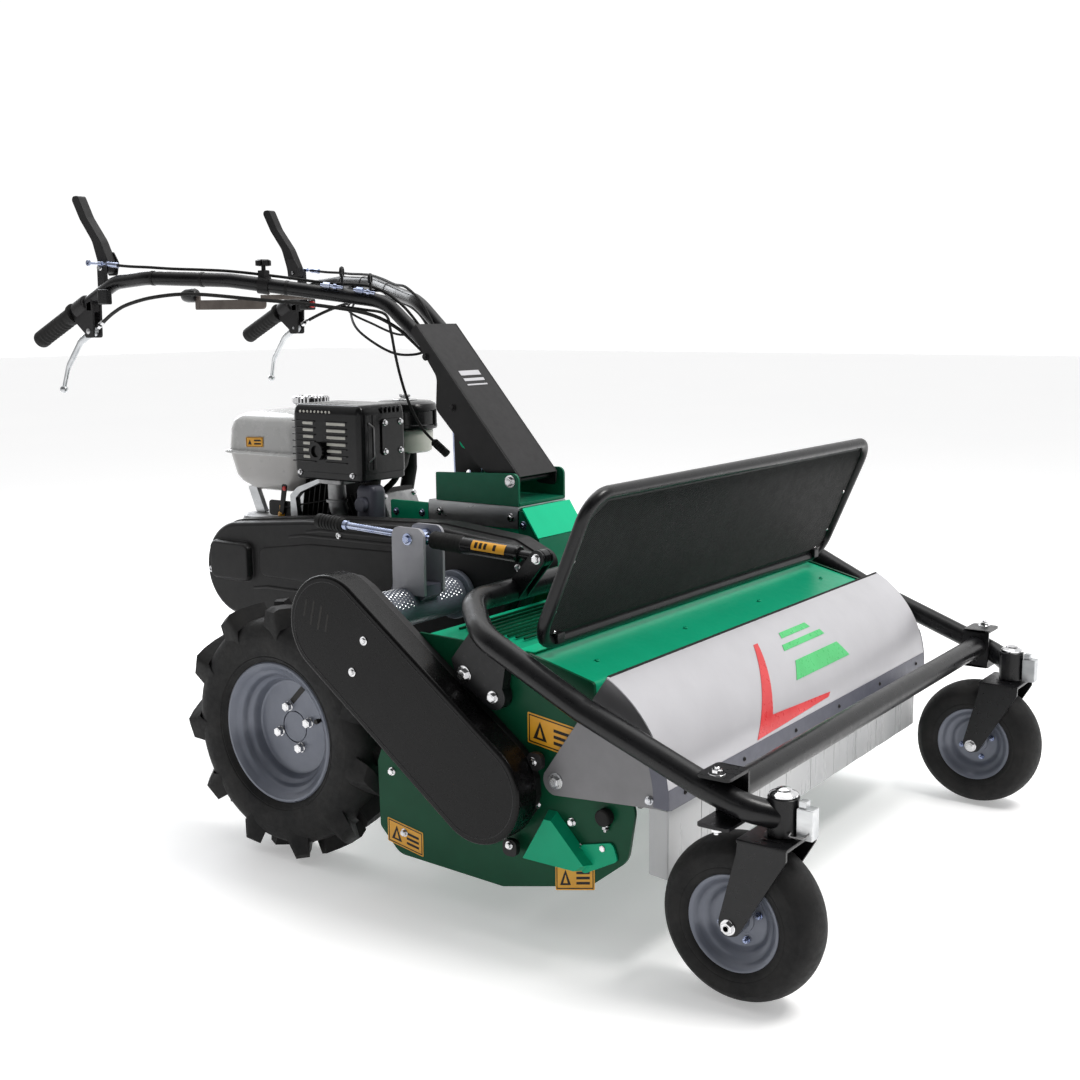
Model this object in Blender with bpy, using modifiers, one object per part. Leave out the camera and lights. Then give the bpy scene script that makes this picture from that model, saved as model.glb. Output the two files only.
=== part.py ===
"""Walk-behind flail mower, modelled at full size in metres with +Z up.

Design datum: the drive axle is at x = 0, the machine's centre plane is y = 0
and the ground is z = 0.  +X points forward, towards the mowing head, and +Y
is the operator's left.  The root empty then moves everything by DATUM_X, so
that the finished machine's origin is the middle of its footprint.
"""
import math

import bmesh
import bpy
from mathutils import Matrix, Vector

# ---------------------------------------------------------------- driving sizes
DATUM_X = -0.074
GAP = 0.0003

# drive wheels
AXLE_Z = 0.238
TYRE_R = 0.238
TYRE_W = 0.102
WHEEL_Y = 0.472
RIM_FLANGE_R = 0.131
RIM_W = 0.080

# mowing head
PLATE_Y = 0.508
PLATE_T = 0.006
ROTOR_X, ROTOR_Z = 0.510, 0.245
ROTOR_DRUM_R = 0.055
FLAIL_PIN_R = 0.076
FLAIL_LENGTH = 0.102
FLAIL_ANGLES = (60, 180, 300)
FLAILS_PER_ROW = 8
BONNET_X, BONNET_Z = 0.626, 0.267
BONNET_R = 0.205
BONNET_Y = 0.5175
BONNET_ARC = (-2.0, 62.0)
CURTAIN_BOTTOM_Z = 0.141
CURTAIN_STRIPS = 10
FLAP_BOTTOM = (0.590, 0.478)
FLAP_TOP = (0.695, 0.722)
FLAP_Y = 0.516

# belt drives
CRANK_X, CRANK_Z = -0.395, 0.460
JACK_X, JACK_Z = 0.200, 0.472
JACK_TUBE_R = 0.035
COVER_Y = (-0.235, -0.165)
CASE_Y = (-0.582, -0.5308)
ENGINE_PULLEY_R = 0.060
JACK_PULLEY_R = 0.085
DECK_PULLEY_R = 0.062
PULLEY_GROOVE = 0.0115
BELT_SEAT = 0.0105
MAIN_BELT_Y = (-0.226, -0.200)
DECK_BELT_Y = (-0.572, -0.546)
CASE_R = 0.088

# lift frame and casters
LIFT_X, LIFT_Z = 0.458, 0.418
FRAME_TUBE_R = 0.020
ARM_Y = 0.552
REAR_BAR_X, REAR_BAR_Z = 0.430, 0.525
SPINDLE_X, SPINDLE_Y = 1.014, 0.510
HEAD_Z = (0.262, 0.318)
CASTER_X, CASTER_R = 0.955, 0.1254
CASTER_W = 0.084
CASTER_FLANGE_R = 0.0715
FORK_Y = 0.0455
CROSSBAR_X, CROSSBAR_Z = 0.938, 0.316

# height adjuster
ADJUST_Y = -0.355
ADJUST_PIN = (0.485, 0.584)
TRUNNION = (0.213, 0.596)

# handlebar
TURRET_X = 0.120
COLUMN_X, COLUMN_Z = 0.205, 0.668
COLUMN_Y = 0.063
COLUMN_TOP = (-0.033, 0.970)
COLUMN_FOOT = (0.222, 0.676)
BAR_R = 0.0145
GRIP_R = 0.0195
CLUTCH_PIVOT = (-0.745, -0.302, 0.958)
PADDLE_PIVOT = (-0.713, -0.285, 1.092)
SHIFT_PIVOT = (-0.345, -0.050, 1.0300)

# ---------------------------------------------------------------- materials
PAINTS = {
    "dark_green": ((0.006, 0.115, 0.045), 0.35, 0.0),
    "bright_green": ((0.010, 0.270, 0.120), 0.32, 0.0),
    "black_paint": ((0.012, 0.012, 0.013), 0.38, 0.0),
    "black_plastic": ((0.016, 0.016, 0.018), 0.50, 0.0),
    "rubber": ((0.017, 0.017, 0.017), 0.80, 0.0),
    "tyre": ((0.020, 0.020, 0.021), 0.85, 0.0),
    "grey_rim": ((0.250, 0.270, 0.320), 0.40, 0.3),
    "silver": ((0.600, 0.600, 0.620), 0.33, 0.5),
    "zinc": ((0.560, 0.570, 0.580), 0.35, 1.0),
    "aluminium": ((0.430, 0.430, 0.440), 0.45, 1.0),
    "steel": ((0.400, 0.400, 0.410), 0.40, 1.0),
    "tank_grey": ((0.560, 0.560, 0.550), 0.35, 0.0),
    "clear_strip": ((0.800, 0.820, 0.840), 0.45, 0.0),
}

ROOT = None
PARTS = None


def clear_scene():
    for item in list(bpy.data.objects):
        bpy.data.objects.remove(item, do_unlink=True)


def material(name):
    found = bpy.data.materials.get(name)
    if found:
        return found
    colour, roughness, metallic = PAINTS[name]
    made = bpy.data.materials.new(name)
    made.use_nodes = True
    shader = made.node_tree.nodes["Principled BSDF"]
    shader.inputs["Base Color"].default_value = (*colour, 1.0)
    shader.inputs["Roughness"].default_value = roughness
    shader.inputs["Metallic"].default_value = metallic
    return made


# ---------------------------------------------------------------- shape helpers
def link(name, data):
    item = bpy.data.objects.new(name, data)
    PARTS.objects.link(item)
    return item


def bake(item):
    """Turn an object with its modifiers, or a curve, into one welded mesh in design space."""
    bpy.context.view_layer.update()
    evaluated = item.evaluated_get(bpy.context.evaluated_depsgraph_get())
    mesh = bpy.data.meshes.new_from_object(evaluated)
    mesh.transform(item.matrix_world)
    work = bmesh.new()
    work.from_mesh(mesh)
    bmesh.ops.remove_doubles(work, verts=work.verts, dist=1e-6)
    bmesh.ops.dissolve_degenerate(work, edges=work.edges, dist=1e-7)
    bmesh.ops.recalc_face_normals(work, faces=work.faces)
    work.to_mesh(mesh)
    work.free()
    name = item.name
    bpy.data.objects.remove(item, do_unlink=True)
    return link(name, mesh)


def box(name, low, high, bevel=0.0, segments=1):
    size = [high[i] - low[i] for i in range(3)]
    middle = [(high[i] + low[i]) / 2 for i in range(3)]
    work = bmesh.new()
    bmesh.ops.create_cube(work, size=1.0)
    bmesh.ops.scale(work, vec=size, verts=work.verts)
    bmesh.ops.translate(work, vec=middle, verts=work.verts)
    mesh = bpy.data.meshes.new(name)
    work.to_mesh(mesh)
    work.free()
    item = link(name, mesh)
    if bevel:
        rounding = item.modifiers.new("Bevel", "BEVEL")
        rounding.width = bevel
        rounding.segments = segments
    return bake(item)


def side_box(name, side, x, y, z):
    """A box on one side of the machine: side is -1 for the right, and y is measured outwards."""
    near, far = sorted((side * y[0], side * y[1]))
    return box(name, (x[0], near, z[0]), (x[1], far, z[1]))


PLANES = {
    "xy": Matrix.Identity(4),
    "xz": Matrix.Rotation(math.radians(90), 4, "X"),
    "yz": Matrix(((0, 0, 1, 0), (1, 0, 0, 0), (0, 1, 0, 0), (0, 0, 0, 1))),
}


def plate(name, outlines, low, high, plane="xz"):
    """A flat outline, with holes, made as thick as low..high along the plane's normal."""
    curve = bpy.data.curves.new(name, "CURVE")
    curve.dimensions = "2D"
    curve.fill_mode = "BOTH"
    curve.extrude = (high - low) / 2
    curve.render_resolution_u = 0
    for outline in outlines:
        spline = curve.splines.new("POLY")
        spline.points.add(len(outline) - 1)
        for point, (a, b) in zip(spline.points, outline):
            point.co = (a, b, 0.0, 1.0)
        spline.use_cyclic_u = True
    item = link(name, curve)
    shift = {"xy": (0, 0, 1), "xz": (0, 1, 0), "yz": (1, 0, 0)}[plane]
    item.matrix_world = Matrix.Translation(Vector(shift) * (low + high) / 2) @ PLANES[plane]
    return bake(item)


def turned(name, profile, centre, axis="y", steps=24, closed=False):
    """A profile of (radius, distance along the axis) turned about the axis through centre."""
    mesh = bpy.data.meshes.new(name)
    verts = [(r, 0.0, t) for r, t in profile]
    edges = [(i, i + 1) for i in range(len(profile) - 1)]
    if closed:
        edges.append((len(profile) - 1, 0))
    mesh.from_pydata(verts, edges, [])
    item = link(name, mesh)
    screw = item.modifiers.new("Screw", "SCREW")
    screw.axis = "Z"
    screw.steps = steps
    screw.render_steps = steps
    screw.use_merge_vertices = True
    screw.merge_threshold = 0.00001
    turn = {"z": Matrix.Identity(4), "y": Matrix.Rotation(math.radians(-90), 4, "X"),
            "x": Matrix.Rotation(math.radians(90), 4, "Y")}[axis]
    item.matrix_world = Matrix.Translation(centre) @ turn
    return bake(item)


def rod(name, start, end, radius, sides=16):
    """A plain cylinder between two points."""
    start, end = Vector(start), Vector(end)
    work = bmesh.new()
    bmesh.ops.create_cone(work, cap_ends=True, segments=sides, radius1=radius, radius2=radius,
                          depth=(end - start).length)
    mesh = bpy.data.meshes.new(name)
    work.to_mesh(mesh)
    work.free()
    item = link(name, mesh)
    turn = (end - start).to_track_quat("Z", "Y").to_matrix().to_4x4()
    item.matrix_world = Matrix.Translation((start + end) / 2) @ turn
    return bake(item)


def tube(name, points, radius, resolution=2, cyclic=False):
    curve = bpy.data.curves.new(name, "CURVE")
    curve.dimensions = "3D"
    curve.bevel_depth = radius
    curve.bevel_resolution = resolution
    curve.render_resolution_u = 0
    curve.use_fill_caps = True
    spline = curve.splines.new("POLY")
    spline.points.add(len(points) - 1)
    for point, place in zip(spline.points, points):
        point.co = (*place, 1.0)
    spline.use_cyclic_u = cyclic
    return bake(link(name, curve))


def bent(points, radius, steps=2):
    """A path through the points with its corners replaced by arcs of the given radius."""
    points = [Vector(p) for p in points]
    path = [points[0]]
    for before, corner, after in zip(points, points[1:], points[2:]):
        to_before = (before - corner).normalized()
        to_after = (after - corner).normalized()
        half = to_before.angle(to_after) / 2
        reach = min(radius / math.tan(half), (before - corner).length * 0.49,
                    (after - corner).length * 0.49)
        bend = reach * math.tan(half)
        centre = corner + (to_before + to_after).normalized() * math.hypot(bend, reach)
        first = corner + to_before * reach - centre
        last = corner + to_after * reach - centre
        for step in range(steps + 1):
            path.append(centre + first.slerp(last, step / steps) * bend)
    path.append(points[-1])
    return path


def arc(centre, radius, start, end, steps):
    """Points on an arc, angles in degrees."""
    turns = [math.radians(start + (end - start) * i / steps) for i in range(steps + 1)]
    return [(centre[0] + radius * math.cos(t), centre[1] + radius * math.sin(t)) for t in turns]


def circle(centre, radius, steps=20):
    return arc(centre, radius, 0, 360, steps)[:-1]


def hull_of(first, first_r, second, second_r, steps=9):
    """The outline of a belt run tightly round two circles."""
    across = Vector(second) - Vector(first)
    heading = math.degrees(math.atan2(across.y, across.x))
    lean = math.degrees(math.acos((first_r - second_r) / across.length))
    around_second = arc(second, second_r, heading - lean, heading + lean, steps)
    return around_second + arc(first, first_r, heading + lean, heading - lean + 360, steps)


def folded(points, thickness):
    """The outline of a folded sheet whose outer face follows the points."""
    points = [Vector(p) for p in points]
    inner = []
    for i, here in enumerate(points):
        before = (here - points[i - 1]).normalized() if i else None
        after = (points[i + 1] - here).normalized() if i < len(points) - 1 else None
        before = before or after
        after = after or before
        normals = [Vector((d.y, -d.x)) for d in (before, after)]
        middle = (normals[0] + normals[1]).normalized()
        inner.append(here + middle * thickness / middle.dot(normals[0]))
    return [tuple(p) for p in points] + [tuple(p) for p in reversed(inner)]


def boolean(item, others, operation):
    for other in others:
        step = item.modifiers.new("Boolean", "BOOLEAN")
        step.operation = operation
        step.solver = "EXACT"
        step.object = other
        item = bake(item)
        bpy.data.objects.remove(other, do_unlink=True)
    return item


def union(name, pieces):
    item = boolean(pieces[0], pieces[1:], "UNION")
    item.name = name
    return item


def cut(item, cutters):
    return boolean(item, cutters, "DIFFERENCE")


def mirror(item, name):
    """A copy of a right-hand piece on the left-hand side."""
    mesh = item.data.copy()
    mesh.transform(item.matrix_world)
    mesh.transform(Matrix.Scale(-1, 4, (0, 1, 0)))
    mesh.flip_normals()
    return link(name, mesh)


def finish(item, paint, pivot=(0.0, 0.0, 0.0), angle=35):
    """Give the piece its paint, its origin on its joint axis, and its place in the machine."""
    pivot = Vector(pivot)
    item.data.transform(item.matrix_world)
    item.data.transform(Matrix.Translation(-pivot))
    item.matrix_world = Matrix.Identity(4)
    item.parent = ROOT
    item.location = pivot
    item.data.materials.clear()
    item.data.materials.append(material(paint))
    item.data.shade_smooth()
    item.data.set_sharp_from_angle(angle=math.radians(angle))
    return item


def both_sides(right, stem, paint, pivot):
    """Finish a right-hand piece and its left-hand twin."""
    left = mirror(right, stem + "_left")
    right.name = stem + "_right"
    finish(right, paint, pivot)
    finish(left, paint, (pivot[0], -pivot[1], pivot[2]))


# ---------------------------------------------------------------- drive
def drive_wheels():
    half = TYRE_W / 2
    side = -WHEEL_Y
    bead = RIM_FLANGE_R - 0.006
    clinch = RIM_FLANGE_R + 0.002
    flange = RIM_W / 2
    outside = [(bead, flange - 0.0075), (clinch, flange - 0.0015), (0.150, half - 0.004), (0.190, half),
               (0.222, half - 0.003), (TYRE_R, half - 0.018)]
    profile = [(r, -t) for r, t in outside] + list(reversed(outside))
    tyre = turned("tyre", profile, (0, side, AXLE_Z), steps=24, closed=True)
    both_sides(tyre, "tyre", "tyre", (0, side, AXLE_Z))
    shaft_end = WHEEL_Y - 0.372
    rim = [(0.0, -0.036), (0.020, -0.036), (0.022, -0.018), (0.068, -0.014), (0.090, -0.027),
           (0.1125, -0.027), (RIM_FLANGE_R, -flange), (0.1195, -flange + 0.010),
           (0.1195, flange - 0.010), (RIM_FLANGE_R, flange), (0.1135, flange - 0.012),
           (0.1135, -0.021), (0.092, -0.021), (0.070, -0.008), (0.014, 0.010), (0.014, shaft_end),
           (0.0, shaft_end)]
    rim = turned("rim", rim, (0, side, AXLE_Z), steps=20)
    both_sides(rim, "rim", "grey_rim", (0, side, AXLE_Z))


def transaxle():
    body = box("transaxle_housing", (-0.10, -0.085, 0.130), (0.10, 0.085, 0.3225), bevel=0.022)
    sleeve = rod("sleeve", (0, -0.385, AXLE_Z), (0, 0.385, AXLE_Z), 0.034, sides=16)
    flange = rod("flange", (0, -0.110, AXLE_Z), (0, 0.110, AXLE_Z), 0.062, sides=16)
    body = union("transaxle_housing", [body, sleeve, flange])
    bores = [rod("bore", (0, s * 0.36, AXLE_Z), (0, s * 0.40, AXLE_Z), 0.0150, sides=20) for s in (-1, 1)]
    finish(cut(body, bores), "black_paint")


def chassis():
    deck = box("chassis_plate", (-0.50, -0.150, 0.323), (0.236, 0.150, 0.331))
    rails = [box("rail", (-0.50, s * 0.150 - 0.004, 0.275), (0.266, s * 0.150 + 0.004, 0.331))
             for s in (-1, 1)]
    cheek = [(0.150, 0.276), (0.267, 0.276), (0.316, 0.400), (0.220, 0.400), (0.150, 0.330)]
    cheeks = [plate("cheek", [cheek], s * 0.150 - 0.004, s * 0.150 + 0.004) for s in (-1, 1)]
    web = box("web", (0.258, -0.150, 0.277), (0.266, 0.150, 0.327))
    rear = box("rear", (-0.50, -0.150, 0.275), (-0.492, 0.150, 0.331))
    finish(union("chassis_plate", [deck] + rails + cheeks + [web, rear]), "black_paint")


# ---------------------------------------------------------------- engine
def engine():
    base = 0.331 + GAP
    block = box("block", (-0.530, -0.112, base), (-0.262, 0.112, 0.555), bevel=0.018)
    foot = box("foot", (-0.495, -0.135, base), (-0.275, 0.135, base + 0.018))
    boss = rod("boss", (CRANK_X, -0.140, CRANK_Z), (CRANK_X, 0, CRANK_Z), 0.050, sides=16)
    block = union("engine_crankcase", [block, foot, boss])
    bore = rod("bore", (CRANK_X, -0.160, CRANK_Z), (CRANK_X, -0.110, CRANK_Z), 0.0140, sides=16)
    finish(cut(block, [bore]), "aluminium")

    # the finned barrel leans forward out of the crankcase, and ends in the head
    lean = math.radians(25)
    barrel = box("engine_cylinder", (0.0, -0.060, -0.055), (0.135, 0.060, 0.055))
    fins = [box("fin", (0.026 + 0.026 * i, -0.082, -0.073), (0.033 + 0.026 * i, 0.082, 0.073))
            for i in range(4)]
    barrel = union("engine_cylinder", [barrel] + fins)
    barrel.data.transform(Matrix.Translation((-0.250, 0.0, 0.515)) @ Matrix.Rotation(-lean, 4, "Y"))
    finish(cut(barrel, [box("keepout", (-0.6, -0.2, 0.2), (-0.262 + GAP, 0.2, 0.8))]), "aluminium")

    silencer = box("muffler", (-0.326, -0.132, 0.648), (-0.130, 0.010, 0.806), bevel=0.010)
    outlet = rod("outlet", (-0.205, -0.131, 0.690), (-0.205, -0.146, 0.690), 0.014, sides=16)
    neck = box("neck", (-0.180, -0.060, 0.640), (-0.150, -0.020, 0.660))
    finish(union("muffler", [silencer, outlet, neck]), "black_paint")

    tank = box("fuel_tank", (-0.590, -0.105, 0.618), (-0.335, 0.150, 0.786), bevel=0.030, segments=2)
    neck = rod("neck", (-0.430, 0.030, 0.780), (-0.430, 0.030, 0.793), 0.033, sides=16)
    straps = [box("strap", (-0.48, y, 0.5555), (-0.45, y + 0.012, 0.63)) for y in (-0.060, 0.060)]
    finish(union("fuel_tank", [tank, neck] + straps), "tank_grey")
    cap = [(0.0, 0.0), (0.038, 0.0), (0.041, 0.004), (0.041, 0.014), (0.036, 0.019), (0.0, 0.019)]
    cap = turned("fuel_cap", cap, (-0.430, 0.030, 0.7935), axis="z", steps=16)
    finish(cap, "zinc", (-0.430, 0.030, 0.7935))

    cleaner = [(0.0, 0.0), (0.057, 0.0), (0.060, 0.052), (0.070, 0.054),
               (0.070, 0.100), (0.062, 0.112), (0.015, 0.114), (0.015, 0.126), (0.0, 0.126)]
    cleaner = turned("air_cleaner", cleaner, (-0.205, 0.092, 0.692), axis="z", steps=16)
    elbow = box("elbow", (-0.225, 0.086, 0.600), (-0.185, 0.120, 0.700))
    finish(union("air_cleaner", [cleaner, elbow]), "black_plastic")

    recoil = [(0.0, 0.0), (0.128, 0.0), (0.130, 0.050), (0.095, 0.072), (0.070, 0.080), (0.0, 0.080)]
    recoil = turned("recoil_housing", recoil, (CRANK_X, 0.1123, CRANK_Z), steps=20)
    keepout = box("keepout", (-0.7, 0.05, 0.2), (0, 0.3, base + 0.020))
    finish(cut(recoil, [keepout]), "black_plastic")


# ---------------------------------------------------------------- belt drives
def main_belt_drive():
    crank, jack = (CRANK_X, CRANK_Z), (JACK_X, JACK_Z)

    def outline(inset):
        shape = arc(crank, 0.103 - inset, 100, 262, 9)
        shape += arc(jack, 0.112 - inset, 262, 300, 4)
        shape += [(0.305 - inset, 0.428), (0.335 - inset, 0.475 + inset)]
        shape += [(0.378 - inset, 0.498 + inset), (0.388 - inset, 0.552 - inset)]
        shape += [(0.320, 0.582 - inset), (0.150, 0.598 - inset), (-0.200, 0.582 - inset)]
        return shape

    shell = plate("main_belt_cover", [outline(0.0)], *COVER_Y)
    bump = box("bump", (-0.470, COVER_Y[0] - 0.014, 0.436), (-0.350, COVER_Y[0] + 0.02, 0.520), bevel=0.012)
    shell = union("main_belt_cover", [shell, bump])
    hollow = plate("hollow", [outline(0.004)], COVER_Y[0] + 0.004, COVER_Y[1] + 0.01)
    hole = rod("hole", (JACK_X, -0.26, JACK_Z), (JACK_X, -0.21, JACK_Z), 0.018, sides=16)
    finish(cut(shell, [hollow, hole]), "black_plastic")

    low, high = MAIN_BELT_Y
    pulley = pulley_profile(ENGINE_PULLEY_R, 0.0130, low, high)
    shaft = [(0.0, low - 0.004), (0.013, low - 0.004)] + pulley + [(0.013, -0.115), (0.0, -0.115)]
    shaft = turned("engine_pulley", shaft, (CRANK_X, 0, CRANK_Z), steps=16)
    finish(shaft, "steel", (CRANK_X, low, CRANK_Z))

    driven = pulley_profile(JACK_PULLEY_R, 0.0130, low, high)
    driver = pulley_profile(DECK_PULLEY_R, 0.0130, *DECK_BELT_Y)
    end = DECK_BELT_Y[0] - 0.003
    shaft = [(0.0, end), (0.0125, end)] + driver + driven + [(0.0125, -0.180), (0.0, -0.180)]
    finish(turned("jackshaft", shaft, (JACK_X, 0, JACK_Z), steps=16), "steel", (JACK_X, low, JACK_Z))

    loop = belt("main_belt", crank, ENGINE_PULLEY_R - BELT_SEAT, jack, JACK_PULLEY_R - BELT_SEAT, MAIN_BELT_Y)
    finish(loop, "rubber")

    face = COVER_Y[0] - GAP
    sleeve = [(0.0145, -PLATE_Y + GAP), (JACK_TUBE_R, -PLATE_Y + GAP), (JACK_TUBE_R, face - 0.012),
              (0.046, face - 0.012), (0.046, face), (0.0145, face)]
    finish(turned("cross_tube", sleeve, (JACK_X, 0, JACK_Z), steps=20, closed=True), "grey_rim")


def pulley_profile(radius, bore, low, high):
    """A vee pulley's profile on a shaft, from its low end to its high end."""
    middle = (low + high) / 2
    groove = radius - PULLEY_GROOVE
    return [(bore, low), (radius, low), (radius, low + 0.003), (groove, middle - 0.0075),
            (groove, middle + 0.0075), (radius, high - 0.003), (radius, high), (bore, high)]


def belt(name, first, first_r, second, second_r, room):
    thick = 0.009
    middle = sum(room) / 2
    outer = hull_of(first, first_r + thick, second, second_r + thick, 14)
    inner = hull_of(first, first_r, second, second_r, 14)
    return plate(name, [outer, inner], middle - 0.0065, middle + 0.0065)


def deck_belt_drive():
    jack, rotor = (JACK_X, JACK_Z), (ROTOR_X, ROTOR_Z)
    shell = plate("side_case", [hull_of(jack, CASE_R, rotor, CASE_R)], *CASE_Y)
    soften = shell.modifiers.new("Bevel", "BEVEL")
    soften.width = 0.006
    soften.limit_method = "ANGLE"
    soften.angle_limit = math.radians(60)
    shell = bake(shell)
    hollow = plate("hollow", [hull_of(jack, CASE_R - 0.004, rotor, CASE_R - 0.004)], CASE_Y[0] + 0.003, -0.52)
    finish(cut(shell, [hollow]), "black_paint")

    back = plate("side_case_back", [hull_of(jack, CASE_R, rotor, CASE_R)], -0.5305, -0.5275)
    spacer = plate("spacer", [hull_of(jack, CASE_R - 0.006, rotor, CASE_R - 0.006)], -0.528, -0.5083)
    tyre_room = rod("tyre_room", (0, -0.6, AXLE_Z), (0, -0.4, AXLE_Z), TYRE_R + 0.012, sides=32)
    hinge = ((BONNET_X, -0.6, BONNET_Z), (BONNET_X, -0.4, BONNET_Z))
    spacer = cut(spacer, [tyre_room, rod("hinge_room", *hinge, 0.034, sides=12)])
    back = union("side_case_back", [back, spacer])
    holes = [rod("hole", (x, -0.6, z), (x, -0.5, z), r, sides=16)
             for x, z, r in ((JACK_X, JACK_Z, 0.0145), (ROTOR_X, ROTOR_Z, 0.020))]
    finish(cut(back, holes), "black_paint")

    seat = DECK_PULLEY_R - BELT_SEAT
    finish(belt("deck_belt", jack, seat, rotor, seat, DECK_BELT_Y), "rubber")


# ---------------------------------------------------------------- mowing head
def deck():
    outline = [(0.245, 0.112), (0.288, 0.070), (0.512, 0.063), (0.684, 0.104), (0.754, 0.160),
               (0.768, 0.246), (0.700, 0.330), (0.692, 0.432), (0.569, 0.462), (0.341, 0.468),
               (0.243, 0.229)]
    bore = circle((ROTOR_X, ROTOR_Z), 0.020, 16)
    right = plate("side_plate", [outline, bore], -PLATE_Y, -PLATE_Y + PLATE_T)
    both_sides(right, "side_plate", "dark_green", (0, 0, 0))
    inside = PLATE_Y - PLATE_T - GAP
    sheet = [(0.254, 0.110), (0.254, 0.230), (0.346, 0.4635), (0.566, 0.4595), (0.688, 0.4300),
             (0.688, 0.395)]
    shell = plate("deck_shell", [folded(sheet, 0.004)], -inside, inside)
    finish(shell, "bright_green")

    housing = [(0.0, 0.508 + GAP), (0.045, 0.508 + GAP), (0.045, 0.514), (0.030, 0.526), (0.0, 0.526)]
    housing = turned("rotor_bearing", housing, (ROTOR_X, 0, ROTOR_Z), steps=16)
    socket = rod("socket", (ROTOR_X, 0.50, ROTOR_Z), (ROTOR_X, 0.518, ROTOR_Z), 0.0190, sides=16)
    finish(cut(housing, [socket]), "steel")


def rotor():
    driven = pulley_profile(DECK_PULLEY_R, 0.018, *DECK_BELT_Y)
    end = DECK_BELT_Y[0] - 0.003
    shaft = [(0.0, end), (0.0175, end)] + driven + [(0.0175, -0.486), (ROTOR_DRUM_R, -0.486),
             (ROTOR_DRUM_R, 0.486), (0.0175, 0.486), (0.0175, 0.515), (0.0, 0.515)]
    drum = turned("rotor", shaft, (ROTOR_X, 0, ROTOR_Z), steps=16)
    pitch = 0.94 / FLAILS_PER_ROW
    lugs = []
    bores = []
    for row, angle in enumerate(FLAIL_ANGLES):
        turn = Matrix.Rotation(math.radians(angle), 4, "Y")
        place = Matrix.Translation((ROTOR_X, 0, ROTOR_Z)) @ turn
        for k in (0, FLAILS_PER_ROW):
            y = -0.47 + pitch * k
            lug = box("lug", (-0.011, y - 0.004, 0.045), (0.011, y + 0.004, FLAIL_PIN_R + 0.011))
            lug.data.transform(place)
            lugs.append(lug)
        bore = rod("bore", (0, -0.5, FLAIL_PIN_R), (0, 0.5, FLAIL_PIN_R), 0.0065, sides=8)
        bore.data.transform(place)
        bores.append(bore)
        flail_row(row + 1, place @ Vector((0, 0, FLAIL_PIN_R)), pitch)
    finish(cut(union("rotor", [drum] + lugs), bores), "black_paint", (ROTOR_X, 0, ROTOR_Z))


def flail_row(number, pin, pitch):
    """The flails on one hinge pin, hanging straight down from it as they do at a standstill."""
    x, _, z = pin
    pieces = [rod("pin", (x, -0.478, z), (x, 0.478, z), 0.0055, sides=8)]
    for k in range(FLAILS_PER_ROW):
        y = -0.47 + pitch * (k + 0.5)
        low = (x - 0.004, y - 0.024, z - FLAIL_LENGTH)
        pieces.append(box("blade", low, (x + 0.004, y + 0.024, z + 0.009)))
    finish(union("flail_row_%d" % number, pieces), "steel", pin)


def bonnet():
    pivot = (BONNET_X, BONNET_Z)
    low, high = BONNET_ARC
    outer = arc(pivot, BONNET_R, low, high, 12)
    inner = arc(pivot, BONNET_R - 0.003, high, low, 12)
    sheet = plate("bonnet", [outer + inner], -BONNET_Y, BONNET_Y)
    side = arc(pivot, BONNET_R - 0.001, low, high, 12) + arc(pivot, 0.024, high + 95, low + 265, 6)
    cheeks = [plate("cheek", [side], *sorted((s * (BONNET_Y - 0.004), s * BONNET_Y))) for s in (-1, 1)]
    shell = union("bonnet", [sheet] + cheeks)
    finish(shell, "silver", (BONNET_X, 0, BONNET_Z), angle=30)


def curtain_pin():
    low = math.radians(BONNET_ARC[0])
    reach = BONNET_R - 0.012
    return (BONNET_X + reach * math.cos(low), 0.0, BONNET_Z + reach * math.sin(low) - 0.006)


def curtain():
    x, _, z = curtain_pin()
    half = 0.498
    pitch = 2 * half / CURTAIN_STRIPS
    outline = [(-half, z), (half, z)]
    for i in reversed(range(CURTAIN_STRIPS)):
        left = -half + pitch * i
        outline += [(left + pitch - 0.001, CURTAIN_BOTTOM_Z), (left + 0.001, CURTAIN_BOTTOM_Z)]
        if i:
            outline += [(left + 0.001, z - 0.018), (left - 0.001, z - 0.018)]
    strips = plate("curtain", [outline], x - 0.0015, x + 0.0015, plane="yz")
    finish(strips, "clear_strip", (x, 0, z))


def flap():
    (x0, z0), (x1, z1) = FLAP_BOTTOM, FLAP_TOP
    length = math.hypot(x1 - x0, z1 - z0)
    corners = [(0, -FLAP_Y, 0), (0, -FLAP_Y, length), (0, FLAP_Y, length), (0, FLAP_Y, 0)]
    rail = 0.0105
    loop = bent([(0, 0, 0)] + corners + [(0, 0, 0)], 0.045)[:-1]
    frame = tube("flap", loop, rail, cyclic=True)
    sheet = [(-FLAP_Y, 0.0), (FLAP_Y, 0.0), (FLAP_Y, length - 0.03), (FLAP_Y - 0.03, length),
             (-FLAP_Y + 0.03, length), (-FLAP_Y, length - 0.03)]
    panel = plate("panel", [sheet], -0.001, 0.001, plane="yz")
    shape = union("flap", [frame, panel])
    lean = Matrix.Rotation(math.atan2(x1 - x0, z1 - z0), 4, "Y")
    shape.data.transform(Matrix.Translation((x0, 0, z0)) @ lean)
    finish(shape, "black_paint", (x0, 0, z0))


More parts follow.
